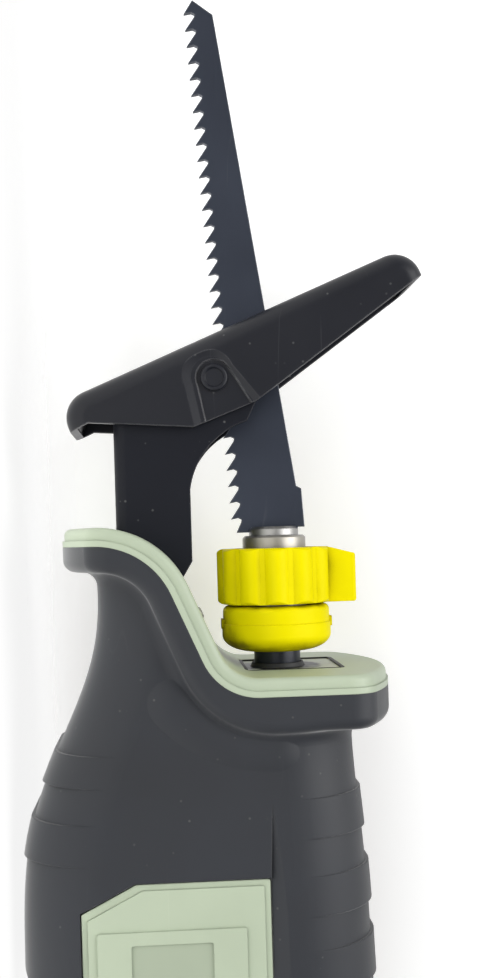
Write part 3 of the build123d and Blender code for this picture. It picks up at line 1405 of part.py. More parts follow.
with BuildPart() as shoe:
    with BuildSketch(SHOE_SIDE):
        Polygon(
            (-SHOE_LOW_END, SHOE_FACE),
            (SHOE_HIGH_END, SHOE_FACE),
            (SHOE_HIGH_END, 2.2),
            (7.3, -9.6),
            (-9.8, -9.1),
            (-33.0, 2.6),
            (-SHOE_LOW_END, 2.4),
            align=None,
        )
    extrude(amount=SHOE_HALF, both=True)
    front_ends = [e for e in shoe.edges().filter_by(Axis.Y) if SHOE_SIDE.to_local_coords(e @ 0.5).Y > 9]
    fillet(front_ends, 7.0)
    fillet(shoe.edges().filter_by(round_edge), SHOE_ROUND)
    with BuildSketch(SHOE_SIDE):
        with BuildLine():
            Polyline(
                (-SHOE_LOW_END + SHEET, -2 * BELLY_DEPTH),
                (-SHOE_LOW_END + SHEET, SHOE_FACE - 7.0),
                (-SHOE_LOW_END + 7.0, SHOE_FACE - SHEET),
                (SHOE_HIGH_END - 7.0, SHOE_FACE - SHEET),
                (SHOE_HIGH_END - SHEET, SHOE_FACE - 7.0),
                (SHOE_HIGH_END - SHEET, -2 * BELLY_DEPTH),
                close=True,
            )
        make_face()
    extrude(amount=SHOE_HALF - SHEET, both=True, mode=Mode.SUBTRACT)
    with BuildSketch(SHOE_FRONT):
        with Locations(((SLOT_LOW + SLOT_HIGH) / 2, 0)):
            RectangleRounded(SLOT_HIGH - SLOT_LOW, 2 * SLOT_HALF, 3.0)
    extrude(amount=2 * SHOE_FACE, mode=Mode.SUBTRACT)
    for side in (-1, 1):
        add(ear_press(side), mode=Mode.SUBTRACT)
        add(ear_floor(side), mode=Mode.SUBTRACT)
    with BuildSketch(SHOE_SIDE):
        Circle(RIVET_R)
    extrude(amount=2 * SHOE_HALF, both=True, mode=Mode.SUBTRACT)
shoe.part.label = "shoe"
export_step(shoe.part, "parts/shoe.step")

with BuildPart() as shoe_rivets:
    for side in (-1, 1):
        inner = BRACKET_HALF - BRACKET_SHEET - 0.1
        seat = SHOE_HALF - EAR_PRESS
        with BuildSketch(SHOE_SIDE.offset(side * (inner - 1.0))):
            Circle(RIVET_HEAD_R)
        extrude(amount=side * 1.0)
        with BuildSketch(SHOE_SIDE.offset(side * inner)):
            Circle(RIVET_R)
        extrude(amount=side * (seat - inner))
        with BuildSketch(SHOE_SIDE.offset(side * seat)):
            Circle(RIVET_HEAD_R)
        extrude(amount=side * RIVET_HEAD)
    caps = shoe_rivets.faces().filter_by(Axis.Y).group_by(SortBy.AREA)[-1]
    fillet(caps.sort_by(Axis.Y)[0].edges(), 0.6)
    fillet(shoe_rivets.faces().filter_by(Axis.Y).sort_by(Axis.Y)[-1].edges(), 0.6)
    for side in (-1, 1):
        with BuildSketch(SHOE_SIDE.offset(side * (seat + RIVET_HEAD))):
            Circle(RIVET_HEAD_R - 0.9)
        extrude(amount=-side * RIVET_DISH, taper=35, mode=Mode.SUBTRACT)
shoe_rivets.part.label = "shoe_rivets"
export_step(shoe_rivets.part, "parts/shoe_rivets.step")

with BuildPart() as shoe_washers:
    for side in (-1, 1):
        with BuildSketch(SHOE_SIDE.offset(side * (BRACKET_HALF + 0.1))):
            Circle(5.4)
            Circle(RIVET_R, mode=Mode.SUBTRACT)
        extrude(amount=side * (SHOE_HALF - SHEET - BRACKET_HALF - 0.1))
shoe_washers.part.label = "shoe_washers"
export_step(shoe_washers.part, "parts/shoe_washers.step")

# Soft pads on the underside of the handle
PAD_FRONT = -150.5
PAD_REAR = PACK_FRONT + 4.0
with BuildPart() as pad_zone:
    with BuildSketch(SIDE):
        with BuildLine():
            pad_top = Spline((PAD_FRONT, -4.0), (-176.0, -3.0), (PAD_REAR, -12.0))
            Polyline(
                pad_top @ 1,
                (PAD_REAR, -2 * BELLY_DEPTH),
                (PAD_FRONT, -2 * BELLY_DEPTH),
                pad_top @ 0,
            )
        zone_face = make_face()
        fillet(zone_face.vertices().group_by(Axis.Z)[-1], 5.0)
    extrude(amount=2 * FLANGE_HALF, both=True)

with BuildPart() as pads:
    add(skin(HANDLE, HANDLE_RUBBER))
    add(pad_zone.part, mode=Mode.INTERSECT)
    add(handle_core, mode=Mode.SUBTRACT)

with BuildPart() as handle_pad_left:
    add(pads.part)
    add(left_side, mode=Mode.INTERSECT)
handle_pad_left.part.label = "handle_pad_left"
export_step(handle_pad_left.part, "parts/handle_pad_left.step")

with BuildPart() as handle_pad_right:
    add(pads.part)
    add(right_side, mode=Mode.INTERSECT)
handle_pad_right.part.label = "handle_pad_right"
export_step(handle_pad_right.part, "parts/handle_pad_right.step")

with BuildPart() as housing_screws:
    for x, z, seat, tip in SCREWS:
        with BuildSketch(flank(seat)):
            with Locations((-x, z)):
                Circle(SCREW_R)
        extrude(amount=tip - seat)
        with BuildSketch(flank(seat)):
            with Locations((-x, z)):
                Circle(SCREW_HEAD_R)
        extrude(amount=-SCREW_HEAD)
        with BuildSketch(flank(seat - SCREW_HEAD)):
            with Locations((-x, z)):
                RegularPolygon(1.9, 6)
        extrude(amount=1.5, mode=Mode.SUBTRACT)
housing_screws.part.label = "housing_screws"
export_step(housing_screws.part, "parts/housing_screws.step")

# Trigger: slides up into the switch
TRIGGER_TOP = -10.4
TRIGGER_LIP = 1.3
POST_R = 2.2
POST_X = -142.0
with BuildPart() as trigger:
    with BuildSketch(SIDE):
        with BuildLine():
            finger = ThreePointArc((TRIGGER_FRONT, -24.0), (-137.0, -22.0), (TRIGGER_REAR, -27.5))
            Polyline(
                finger @ 1,
                (TRIGGER_REAR, TRIGGER_TOP),
                (TRIGGER_FRONT, TRIGGER_TOP),
                finger @ 0,
            )
        face = make_face()
        fillet(face.vertices().sort_by(Axis.Z)[:2], 3.0)
    extrude(amount=TRIGGER_HALF, both=True)
    low_edges = [e for e in trigger.edges() if (e @ 0.5).Z < AXIS_Z - 20 and abs((e @ 0.5).Y) > 7]
    fillet(low_edges, 1.8)
    with BuildSketch(level(TRIGGER_TOP)):
        with Locations(((TRIGGER_FRONT + TRIGGER_REAR) / 2, 0)):
            Rectangle(TRIGGER_FRONT - TRIGGER_REAR + 2 * TRIGGER_LIP, 2 * (TRIGGER_HALF - TRIGGER_LIP))
    extrude(amount=-1.4)
    with BuildSketch(level(TRIGGER_TOP)):
        with Locations((POST_X, 0)):
            Circle(POST_R)
    extrude(amount=SWITCH_LOW + 3.0 - TRIGGER_TOP)
trigger.part.label = "trigger"
export_step(trigger.part, "parts/trigger.step")

with BuildPart() as switch_body:
    with BuildSketch(level(SWITCH_LOW)):
        with Locations(((SWITCH_FRONT + SWITCH_REAR) / 2, 0)):
            Rectangle(SWITCH_FRONT - SWITCH_REAR, 2 * SWITCH_HALF)
    extrude(amount=SWITCH_HIGH - SWITCH_LOW)
    chamfer(switch_body.edges().filter_by(Axis.X), 1.0)
    with BuildSketch(level(SWITCH_LOW)):
        with Locations((POST_X, 0)):
            Circle(POST_R + 0.4)
    extrude(amount=3.0 + TRIGGER_TRAVEL + 1.0, mode=Mode.SUBTRACT)
switch_body.part.label = "switch_body"
export_step(switch_body.part, "parts/switch_body.step")

# Lock button: a pin across the handle, pushed from the left
LOCK_HALF = 19.6
with BuildPart() as lock_button:
    with BuildSketch(flank(-LOCK_HALF)):
        with Locations((-LOCK_X, LOCK_Z)):
            Circle(LOCK_R)
    extrude(amount=2 * LOCK_HALF + LOCK_PROUD)
    fillet(lock_button.faces().filter_by(Axis.Y).edges(), 0.8)
lock_button.part.label = "lock_button"
export_step(lock_button.part, "parts/lock_button.step")

# Control board behind the motor
BOARD_X = -95.0
BOARD_LOW = -52.0
BOARD_HIGH = -24.0
with BuildPart() as control_board:
    with BuildSketch(level(BOARD_LOW)):
        with Locations((BOARD_X, 0)):
            Rectangle(1.6, 4 * FLANGE_HALF)
    extrude(amount=BOARD_HIGH - BOARD_LOW)
    add(skin(BODY, -WALL - 0.1), mode=Mode.INTERSECT)
    with BuildSketch(across(BOARD_X + 0.8)):
        with Locations((-12.0, -32.0), (0.0, -32.0), (12.0, -32.0)):
            Rectangle(8.0, 10.0)
        with Locations((0.0, -45.0)):
            Rectangle(20.0, 8.0)
    extrude(amount=4.0)
control_board.part.label = "control_board"
export_step(control_board.part, "parts/control_board.step")

# Terminal block at the front of the battery rails
BLOCK_DEPTH = 4.0
BLADE_TAB = 9.0
TAB_Y = (-9.0, 0.0, 9.0)
SLOT_FRONT = RAIL_FRONT + RAIL_CLEAR
with BuildPart() as terminal_block:
    with BuildSketch(across(SLOT_FRONT)):
        with Locations((0, (RAIL_Z + RAIL_TOP) / 2)):
            Rectangle(30.0, RAIL_TOP - RAIL_Z + 0.6)
    extrude(amount=-BLOCK_DEPTH)
terminal_block.part.label = "terminal_block"
export_step(terminal_block.part, "parts/terminal_block.step")

with BuildPart() as terminal_tabs:
    with BuildSketch(across(SLOT_FRONT - BLOCK_DEPTH)):
        for y in TAB_Y:
            with Locations((y, (RAIL_Z + RAIL_TOP) / 2)):
                Rectangle(0.8, 2.4)
    extrude(amount=-BLADE_TAB)
terminal_tabs.part.label = "terminal_tabs"
export_step(terminal_tabs.part, "parts/terminal_tabs.step")

# Leads between the motor, the board, the switch and the terminals
LEAD_R = 0.9


def spot(x, y, z):
    """Point of the tool in the shared frame."""
    return (NOSE_X + x, y, AXIS_Z + z)


LEADS = [
    [(MOTOR_X - CAP_R - 0.6, 4.0, -57.0), (-84.0, 6.0, -57.0), (BOARD_X + 1.4, 8.0, -51.0)],
    [
        (BOARD_X - 1.7, 6.0, -26.0),
        (-107.0, 6.3, -9.0),
        (-116.5, 6.6, 0.0),
        (-121.0, 7.0, 6.5),
        (-126.0, 7.0, 11.6),
        (SWITCH_FRONT + 0.6, 6.0, 8.0),
    ],
    [(SWITCH_REAR - 0.5, 5.0, -1.0), (PACK_FRONT + 28.0, 5.0, -4.0),
     (PACK_FRONT + 11.0, 5.0, -10.0), (PACK_FRONT - 5.0, 5.0, -12.5)],
]
with BuildPart() as leads:
    for route in LEADS:
        for side in (-1, 1):
            points = [spot(x, side * y, z) for x, y, z in route]
            with BuildLine() as lead_path:
                Spline(*points)
            with BuildSketch(Plane(origin=lead_path.line @ 0, z_dir=lead_path.line % 0)):
                Circle(LEAD_R)
            sweep(path=lead_path.line)
leads.part.label = "leads"
export_step(leads.part, "parts/leads.step")

# Battery pack: tub, lid with rails, cells and straps
PACK_SPLIT = -41.0
PACK_CORNER = 5.0
PACK_MID = (PACK_FRONT - TAIL_REACH) / 2
INNER_LENGTH = PACK_LENGTH - 2 * PACK_WALL
INNER_HALF = PACK_HALF - PACK_WALL
GROOVE_X = (-20, -10, 0, 10, 20)
GROOVE_DEPTH = 1.0
RAIL_START = RAIL_FRONT - 6.0
RAIL_END = -TAIL_REACH + 6.0
LATCH_HALF = 12.0
LATCH_DEPTH = 5.2
LATCH_WALL = 1.5
HOOK_DEPTH = 3.0
CELL_SPACE = 1.0          # room between the front wall and the first cell
LATCH_SET = 0.6           # how far the latch sits inside the rear face
LATCH_CLEAR = 0.4
LATCH_TRAVEL = 2.5
LATCH_RIM = LATCH_CLEAR + LATCH_WALL
LATCH_FLOOR = 1.1
LATCH_LOW = PACK_SPLIT + LATCH_FLOOR + LATCH_CLEAR + LATCH_TRAVEL
LATCH_FRONT = -TAIL_REACH + LATCH_SET + LATCH_DEPTH

with BuildPart() as pack_tub:
    with BuildSketch(level(-BELLY_DEPTH)):
        with Locations((PACK_MID, 0)):
            RectangleRounded(PACK_LENGTH, 2 * PACK_HALF, PACK_CORNER)
    extrude(amount=PACK_SPLIT + BELLY_DEPTH)
    fillet(pack_tub.faces().sort_by(Axis.Z)[0].edges(), 3.0)
    with BuildSketch(level(-BELLY_DEPTH + PACK_WALL)):
        with Locations((PACK_MID, 0)):
            RectangleRounded(INNER_LENGTH, 2 * INNER_HALF, PACK_CORNER - PACK_WALL)
    extrude(amount=PACK_SPLIT + BELLY_DEPTH, mode=Mode.SUBTRACT)
    for side in (-1, 1):
        with BuildSketch(flank(side * PACK_HALF)):
            for x in GROOVE_X:
                with Locations((-PACK_MID - x, -54.0)):
                    SlotOverall(18.0, 2.4, rotation=90)
        extrude(amount=-side * GROOVE_DEPTH, mode=Mode.SUBTRACT)
pack_tub.part.label = "pack_tub"
export_step(pack_tub.part, "parts/pack_tub.step")

with BuildPart() as pack_lid:
    with BuildSketch(level(PACK_SPLIT)):
        with Locations((PACK_MID, 0)):
            RectangleRounded(PACK_LENGTH, 2 * PACK_HALF, PACK_CORNER)
    extrude(amount=PACK_TOP - PACK_SPLIT)
    fillet(pack_lid.faces().sort_by(Axis.Z)[-1].edges(), 3.0)
    with BuildSketch(level(PACK_SPLIT)):
        with Locations((PACK_MID, 0)):
            RectangleRounded(INNER_LENGTH, 2 * INNER_HALF, PACK_CORNER - PACK_WALL)
    extrude(amount=PACK_TOP - PACK_SPLIT - PACK_WALL, mode=Mode.SUBTRACT)
    with BuildSketch(level(PACK_TOP - PACK_WALL)):
        with Locations(((RAIL_START + RAIL_END) / 2, 0)):
            Rectangle(RAIL_START - RAIL_END, 2 * RAIL_NECK)
    extrude(amount=RAIL_Z - PACK_TOP + PACK_WALL)
    with BuildSketch(level(RAIL_Z)):
        with Locations(((RAIL_START + RAIL_END) / 2, 0)):
            Rectangle(RAIL_START - RAIL_END, 2 * RAIL_HEAD)
    extrude(amount=RAIL_TOP - RAIL_Z)
    with BuildSketch(level(RAIL_Z)):
        for y in TAB_Y:
            with Locations((RAIL_START - BLADE_TAB / 2, y)):
                Rectangle(BLADE_TAB + 4, 1.8)
    extrude(amount=RAIL_TOP - RAIL_Z + 1, mode=Mode.SUBTRACT)
    with BuildSketch(level(PACK_SPLIT)):
        with Locations(((LATCH_FRONT + LATCH_RIM - TAIL_REACH) / 2, 0)):
            Rectangle(LATCH_FRONT + LATCH_RIM + TAIL_REACH, 2 * (LATCH_HALF + LATCH_RIM))
    extrude(amount=PACK_TOP - PACK_SPLIT - 0.5)
    with BuildSketch(level(PACK_SPLIT + LATCH_FLOOR)):
        with Locations(((LATCH_FRONT + LATCH_CLEAR - TAIL_REACH - 2) / 2, 0)):
            Rectangle(LATCH_FRONT + LATCH_CLEAR + TAIL_REACH + 2, 2 * (LATCH_HALF + LATCH_CLEAR))
    extrude(amount=BELLY_DEPTH, mode=Mode.SUBTRACT)
pack_lid.part.label = "pack_lid"
export_step(pack_lid.part, "parts/pack_lid.step")

with BuildPart() as pack_latch:
    with BuildSketch(level(LATCH_LOW)):
        with Locations((LATCH_FRONT - LATCH_DEPTH / 2, 0)):
            Rectangle(LATCH_DEPTH, 2 * LATCH_HALF)
    extrude(amount=PACK_TOP - LATCH_LOW - 0.6)
    with BuildSketch(across(-TAIL_REACH + LATCH_SET)):
        for z in (-34.5, -32.0, -29.5):
            with Locations((0, z)):
                Rectangle(16.0, 0.9)
    extrude(amount=0.8, mode=Mode.SUBTRACT)
    with BuildSketch(level(PACK_TOP - 0.6)):
        with Locations((LATCH_FRONT - HOOK_DEPTH / 2, 0)):
            Rectangle(HOOK_DEPTH, 2 * HOOK_HALF)
    extrude(amount=HOOK_TOP - PACK_TOP + 0.6)
pack_latch.part.label = "pack_latch"
export_step(pack_latch.part, "parts/pack_latch.step")

CELL_PITCH = 2 * CELL_R + 0.2
CELL_FIRST = PACK_FRONT - PACK_WALL - CELL_SPACE - CELL_R
CELL_LOW = -BELLY_DEPTH + PACK_WALL + CELL_R + 0.1
CELL_ROWS = (CELL_LOW, CELL_LOW + 2 * CELL_R + 0.2)
CELL_PLACES = []
for row in CELL_ROWS:
    for column in range(CELL_COUNT):
        CELL_PLACES.append((CELL_FIRST - column * CELL_PITCH, row))

with BuildPart() as pack_cells:
    with BuildSketch(SIDE):
        for place in CELL_PLACES:
            with Locations(place):
                Circle(CELL_R)
    extrude(amount=CELL_LENGTH / 2 - 0.6, both=True)
pack_cells.part.label = "pack_cells"
export_step(pack_cells.part, "parts/pack_cells.step")

with BuildPart() as cell_straps:
    for side in (-1, 1):
        with BuildSketch(flank(side * (CELL_LENGTH / 2 - 0.6))):
            for row in CELL_ROWS:
                with Locations((-CELL_FIRST + (CELL_COUNT - 1) / 2 * CELL_PITCH, row)):
                    Rectangle((CELL_COUNT - 1) * CELL_PITCH + 8, 7.0)
        extrude(amount=side * 0.3)
cell_straps.part.label = "cell_straps"
export_step(cell_straps.part, "parts/cell_straps.step")

with BuildPart() as pack_contacts:
    with BuildSketch(level(RAIL_Z)):
        for y in TAB_Y:
            for side in (-1, 1):
                with Locations((RAIL_START - 5.0, y + side * 0.75)):
                    Rectangle(8.0, 0.3)
    extrude(amount=RAIL_TOP - RAIL_Z - 0.3)
pack_contacts.part.label = "pack_contacts"
export_step(pack_contacts.part, "parts/pack_contacts.step")
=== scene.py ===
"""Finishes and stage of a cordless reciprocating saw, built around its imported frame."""

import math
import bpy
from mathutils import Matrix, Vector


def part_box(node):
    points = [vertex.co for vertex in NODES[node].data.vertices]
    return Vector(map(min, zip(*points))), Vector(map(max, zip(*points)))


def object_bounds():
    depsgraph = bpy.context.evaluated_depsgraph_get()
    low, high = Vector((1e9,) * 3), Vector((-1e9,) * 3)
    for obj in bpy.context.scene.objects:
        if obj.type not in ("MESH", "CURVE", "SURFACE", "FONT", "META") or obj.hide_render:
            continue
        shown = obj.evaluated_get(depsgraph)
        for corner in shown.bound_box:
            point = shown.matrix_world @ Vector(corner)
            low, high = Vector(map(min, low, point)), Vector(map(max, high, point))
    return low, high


bl_info = {
    "name": "Reciprocating saw looks",
    "version": (1, 0, 0),
    "blender": (4, 5, 0),
    "location": "View3D > Sidebar > Saw",
    "description": "Dresses the packed saw with its finishes and sets the stage round it",
    "category": "Object",
}

import bpy
from bpy.props import FloatProperty, FloatVectorProperty, PointerProperty
from mathutils import Matrix, Vector

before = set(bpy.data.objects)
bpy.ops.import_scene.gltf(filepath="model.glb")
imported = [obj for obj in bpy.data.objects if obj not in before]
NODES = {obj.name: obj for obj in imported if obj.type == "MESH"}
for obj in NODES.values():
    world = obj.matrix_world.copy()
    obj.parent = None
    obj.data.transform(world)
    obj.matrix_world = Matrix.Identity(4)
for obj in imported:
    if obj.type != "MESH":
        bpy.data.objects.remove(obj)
CAD_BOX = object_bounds()
MM = 0.001
CLAMP_NOSE = 2.4 * MM     # length of the dark nose in front of the clamp's ring
PLATE_REACH = 6.8 * MM    # half length of the recess in a side panel
PLATE_HEIGHT = 19.0 * MM  # its height
PLATE_RISE = -1.15 * MM   # its middle above the middle of the panel
PLATE_PAINTED_SHADE = 0.84        # painted shade: tone of the recess against the panel
GREASE_COLOUR = (0.012, 0.012, 0.016)
FLOOR_LIGHT = 2.0         # light from the floor against its glow to the camera
FLOOR_OPACITY = 0.2       # how much of the floor's own surface the camera sees
FLOOR_GAP = 0.2 * MM      # room between the saw and the floor
FLOOR_RADIUS = 1.6
FLOOR_INNER = 0.35        # radius up to which the floor doesn't fade
FLOOR_COLOUR = (0.86, 0.86, 0.85)
FLOOR_GLOW = (0.40, 0.40, 0.395)
SIDE_SHARE = 0.2          # light from the two sides against light from all round
REAR_SHARE = 1.0          # how far the light from the rear falls, against the two sides
GLOSS_SHARE = 0.95        # brightness of the surroundings in a gloss, against white
GLOSS_LOSS = 0.76         # how much dimmer the left side and the rear look in a gloss
BACKDROP_FOOT = 0.02      # height over which the backdrop fades in above the floor
BACKDROP_GAP = 1.0 * MM   # room between the saw's right side and the backdrop
BACKDROP_X = 0.10         # middle of the backdrop along the saw
BACKDROP_Z = 0.06         # its middle height
BACKDROP_RADIUS = 0.42
BACKDROP_INNER = 0.16     # radius up to which the backdrop doesn't fade
BACKDROP_COLOUR = (0.90, 0.925, 0.955)
BACKDROP_GLOW = (0.33, 0.31, 0.285)
SHEET_SIDES = 96          # corners of a round stage sheet
KEY_PLACE = (0.2, 0.5, 0.8)
KEY_SIZE = 0.8
FILL_PLACE = (-0.2, 0.9, 0.35)
FILL_SIZE = 0.6
LAMP_AIM = (0.0, 0.0, 0.05)
SENSOR_WIDTH = 36.0


def add_node(tree, kind, **settings):
    """New node of a tree with its settings made."""
    node = tree.nodes.new(kind)
    for key, value in settings.items():
        setattr(node, key, value)
    return node


def wire(tree, source, target):
    """Joins an output to an input."""
    tree.links.new(source, target)


def new_group(name, inputs, outputs):
    """Empty shader node group with its sockets, and its two end nodes."""
    tree = bpy.data.node_groups.new(name, "ShaderNodeTree")
    for label, kind, default in inputs:
        socket = tree.interface.new_socket(label, in_out="INPUT", socket_type=kind)
        socket.default_value = default
    for label, kind in outputs:
        tree.interface.new_socket(label, in_out="OUTPUT", socket_type=kind)
    return tree, tree.nodes.new("NodeGroupInput"), tree.nodes.new("NodeGroupOutput")


def scaled_value(tree, source, factor):
    """Output of a multiply node."""
    node = add_node(tree, "ShaderNodeMath", operation="MULTIPLY")
    wire(tree, source, node.inputs[0])
    if hasattr(factor, "links"):
        wire(tree, factor, node.inputs[1])
    else:
        node.inputs[1].default_value = factor
    return node.outputs[0]


def moulded_grain():
    """Fine pitted texture of a moulded surface, and a slow drift over it."""
    tree, start, end = new_group(
        "Moulded grain",
        [("Scale", "NodeSocketFloat", 2200.0), ("Drift Scale", "NodeSocketFloat", 30.0)],
        [("Height", "NodeSocketFloat"), ("Drift", "NodeSocketFloat")],
    )
    place = add_node(tree, "ShaderNodeTexCoord")
    fine = add_node(tree, "ShaderNodeTexNoise")
    fine.inputs["Detail"].default_value = 2.5
    fine.inputs["Roughness"].default_value = 0.6
    slow = add_node(tree, "ShaderNodeTexNoise")
    slow.inputs["Detail"].default_value = 4.0
    wire(tree, place.outputs["Object"], fine.inputs["Vector"])
    wire(tree, place.outputs["Object"], slow.inputs["Vector"])
    wire(tree, start.outputs["Scale"], fine.inputs["Scale"])
    wire(tree, start.outputs["Drift Scale"], slow.inputs["Scale"])
    wire(tree, fine.outputs["Fac"], end.inputs["Height"])
    wire(tree, slow.outputs["Fac"], end.inputs["Drift"])
    return tree


def edge_wear_and_painted_highlight():
    """Mask of rubbed edges that also serves as a painted highlight along them, broken up by noise."""
    tree, start, end = new_group(
        "Edge wear and painted highlight",
        [("Width", "NodeSocketFloat", 0.5 * MM), ("Amount", "NodeSocketFloat", 0.5)],
        [("Mask", "NodeSocketFloat")],
    )
    rounded = add_node(tree, "ShaderNodeBevel", samples=4)
    flat = add_node(tree, "ShaderNodeNewGeometry")
    match = add_node(tree, "ShaderNodeVectorMath", operation="DOT_PRODUCT")
    ramp = add_node(tree, "ShaderNodeMapRange")
    ramp.inputs["From Min"].default_value = 0.995
    ramp.inputs["From Max"].default_value = 0.9
    place = add_node(tree, "ShaderNodeTexCoord")
    patch = add_node(tree, "ShaderNodeTexNoise")
    patch.inputs["Scale"].default_value = 260.0
    patch.inputs["Detail"].default_value = 3.0
    wire(tree, start.outputs["Width"], rounded.inputs["Radius"])
    wire(tree, rounded.outputs["Normal"], match.inputs[0])
    wire(tree, flat.outputs["Normal"], match.inputs[1])
    wire(tree, match.outputs["Value"], ramp.inputs["Value"])
    wire(tree, place.outputs["Object"], patch.inputs["Vector"])
    broken = scaled_value(tree, ramp.outputs["Result"], patch.outputs["Fac"])
    wire(tree, scaled_value(tree, broken, start.outputs["Amount"]), end.inputs["Mask"])
    return tree


def tone_drift():
    """Colour made slightly lighter and darker by a slow pattern."""
    tree, start, end = new_group(
        "Tone drift",
        [
            ("Color", "NodeSocketColor", (0.5, 0.5, 0.5, 1.0)),
            ("Drift", "NodeSocketFloat", 0.5),
            ("Amount", "NodeSocketFloat", 0.08),
        ],
        [("Color", "NodeSocketColor")],
    )
    spread = add_node(tree, "ShaderNodeMapRange")
    spread.inputs["From Min"].default_value = 0.3
    spread.inputs["From Max"].default_value = 0.7
    spread.inputs["To Min"].default_value = -1.0
    spread.inputs["To Max"].default_value = 1.0
    wire(tree, start.outputs["Drift"], spread.inputs["Value"])
    change = scaled_value(tree, spread.outputs["Result"], start.outputs["Amount"])
    lift = add_node(tree, "ShaderNodeMath", operation="ADD")
    lift.inputs[1].default_value = 1.0
    wire(tree, change, lift.inputs[0])
    tint = add_node(tree, "ShaderNodeVectorMath", operation="SCALE")
    wire(tree, start.outputs["Color"], tint.inputs[0])
    wire(tree, lift.outputs[0], tint.inputs["Scale"])
    wire(tree, tint.outputs["Vector"], end.inputs["Color"])
    return tree


def grinding_lines():
    """Fine lines that run along the X axis of the tool."""
    tree, start, end = new_group(
        "Grinding lines",
        [("Scale", "NodeSocketFloat", 1500.0), ("Stretch", "NodeSocketFloat", 0.02)],
        [("Height", "NodeSocketFloat")],
    )
    place = add_node(tree, "ShaderNodeTexCoord")
    parts = add_node(tree, "ShaderNodeSeparateXYZ")
    joined = add_node(tree, "ShaderNodeCombineXYZ")
    lines = add_node(tree, "ShaderNodeTexNoise")
    lines.inputs["Detail"].default_value = 3.0
    wire(tree, place.outputs["Object"], parts.inputs[0])
    wire(tree, scaled_value(tree, parts.outputs["X"], start.outputs["Stretch"]), joined.inputs["X"])
    wire(tree, parts.outputs["Y"], joined.inputs["Y"])
    wire(tree, parts.outputs["Z"], joined.inputs["Z"])
    wire(tree, joined.outputs[0], lines.inputs["Vector"])
    wire(tree, start.outputs["Scale"], lines.inputs["Scale"])
    wire(tree, lines.outputs["Fac"], end.inputs["Height"])
    return tree


def crevice_dirt_and_painted_shade():
    """Mask of dirt and painted shade: darker where corners, grooves and nearby parts occlude the surface,
    broken up by noise.
    """
    tree, start, end = new_group(
        "Crevice dirt and painted shade",
        [
            ("Reach", "NodeSocketFloat", 2.0 * MM),
            ("Start", "NodeSocketFloat", 0.8),
            ("Amount", "NodeSocketFloat", 0.4),
        ],
        [("Mask", "NodeSocketFloat")],
    )
    # painted shade: ambient occlusion picks out the corners and grooves where shade falls
    shade = add_node(tree, "ShaderNodeAmbientOcclusion", samples=6)
    ramp = add_node(tree, "ShaderNodeMapRange", interpolation_type="SMOOTHSTEP")
    ramp.inputs["From Max"].default_value = 0.3
    place = add_node(tree, "ShaderNodeTexCoord")
    patch = add_node(tree, "ShaderNodeTexNoise")
    patch.inputs["Scale"].default_value = 140.0
    patch.inputs["Detail"].default_value = 4.0
    lift = add_node(tree, "ShaderNodeMapRange")
    lift.inputs["From Min"].default_value = 0.25
    lift.inputs["From Max"].default_value = 0.65
    wire(tree, start.outputs["Reach"], shade.inputs["Distance"])
    wire(tree, start.outputs["Start"], ramp.inputs["From Min"])
    wire(tree, shade.outputs["AO"], ramp.inputs["Value"])
    wire(tree, place.outputs["Object"], patch.inputs["Vector"])
    wire(tree, patch.outputs["Fac"], lift.inputs["Value"])
    broken = scaled_value(tree, ramp.outputs["Result"], lift.outputs["Result"])
    wire(tree, scaled_value(tree, broken, start.outputs["Amount"]), end.inputs["Mask"])
    return tree


def hair_scratches():
    """Mask of thin scratches that cross the surface at a shallow slant."""
    tree, start, end = new_group(
        "Hair scratches",
        [("Scale", "NodeSocketFloat", 60.0), ("Amount", "NodeSocketFloat", 0.3)],
        [("Mask", "NodeSocketFloat")],
    )
    place = add_node(tree, "ShaderNodeTexCoord")
    stretch = add_node(tree, "ShaderNodeMapping")
    stretch.inputs["Rotation"].default_value = (0.3, 0.5, 0.2)
    stretch.inputs["Scale"].default_value = (0.12, 1.0, 1.6)
    bend = add_node(tree, "ShaderNodeTexNoise")
    bend.inputs["Detail"].default_value = 1.0
    thin = add_node(tree, "ShaderNodeMath", operation="SUBTRACT")
    thin.inputs[1].default_value = 0.5
    size = add_node(tree, "ShaderNodeMath", operation="ABSOLUTE")
    line = add_node(tree, "ShaderNodeMapRange")
    line.inputs["From Min"].default_value = 0.006
    line.inputs["From Max"].default_value = 0.0
    patch = add_node(tree, "ShaderNodeTexNoise")
    patch.inputs["Scale"].default_value = 45.0
    keep = add_node(tree, "ShaderNodeMapRange")
    keep.inputs["From Min"].default_value = 0.5
    keep.inputs["From Max"].default_value = 0.62
    wire(tree, place.outputs["Object"], stretch.inputs["Vector"])
    wire(tree, stretch.outputs["Vector"], bend.inputs["Vector"])
    wire(tree, start.outputs["Scale"], bend.inputs["Scale"])
    wire(tree, bend.outputs["Fac"], thin.inputs[0])
    wire(tree, thin.outputs[0], size.inputs[0])
    wire(tree, size.outputs[0], line.inputs["Value"])
    wire(tree, place.outputs["Object"], patch.inputs["Vector"])
    wire(tree, patch.outputs["Fac"], keep.inputs["Value"])
    broken = scaled_value(tree, line.outputs["Result"], keep.outputs["Result"])
    wire(tree, scaled_value(tree, broken, start.outputs["Amount"]), end.inputs["Mask"])
    return tree


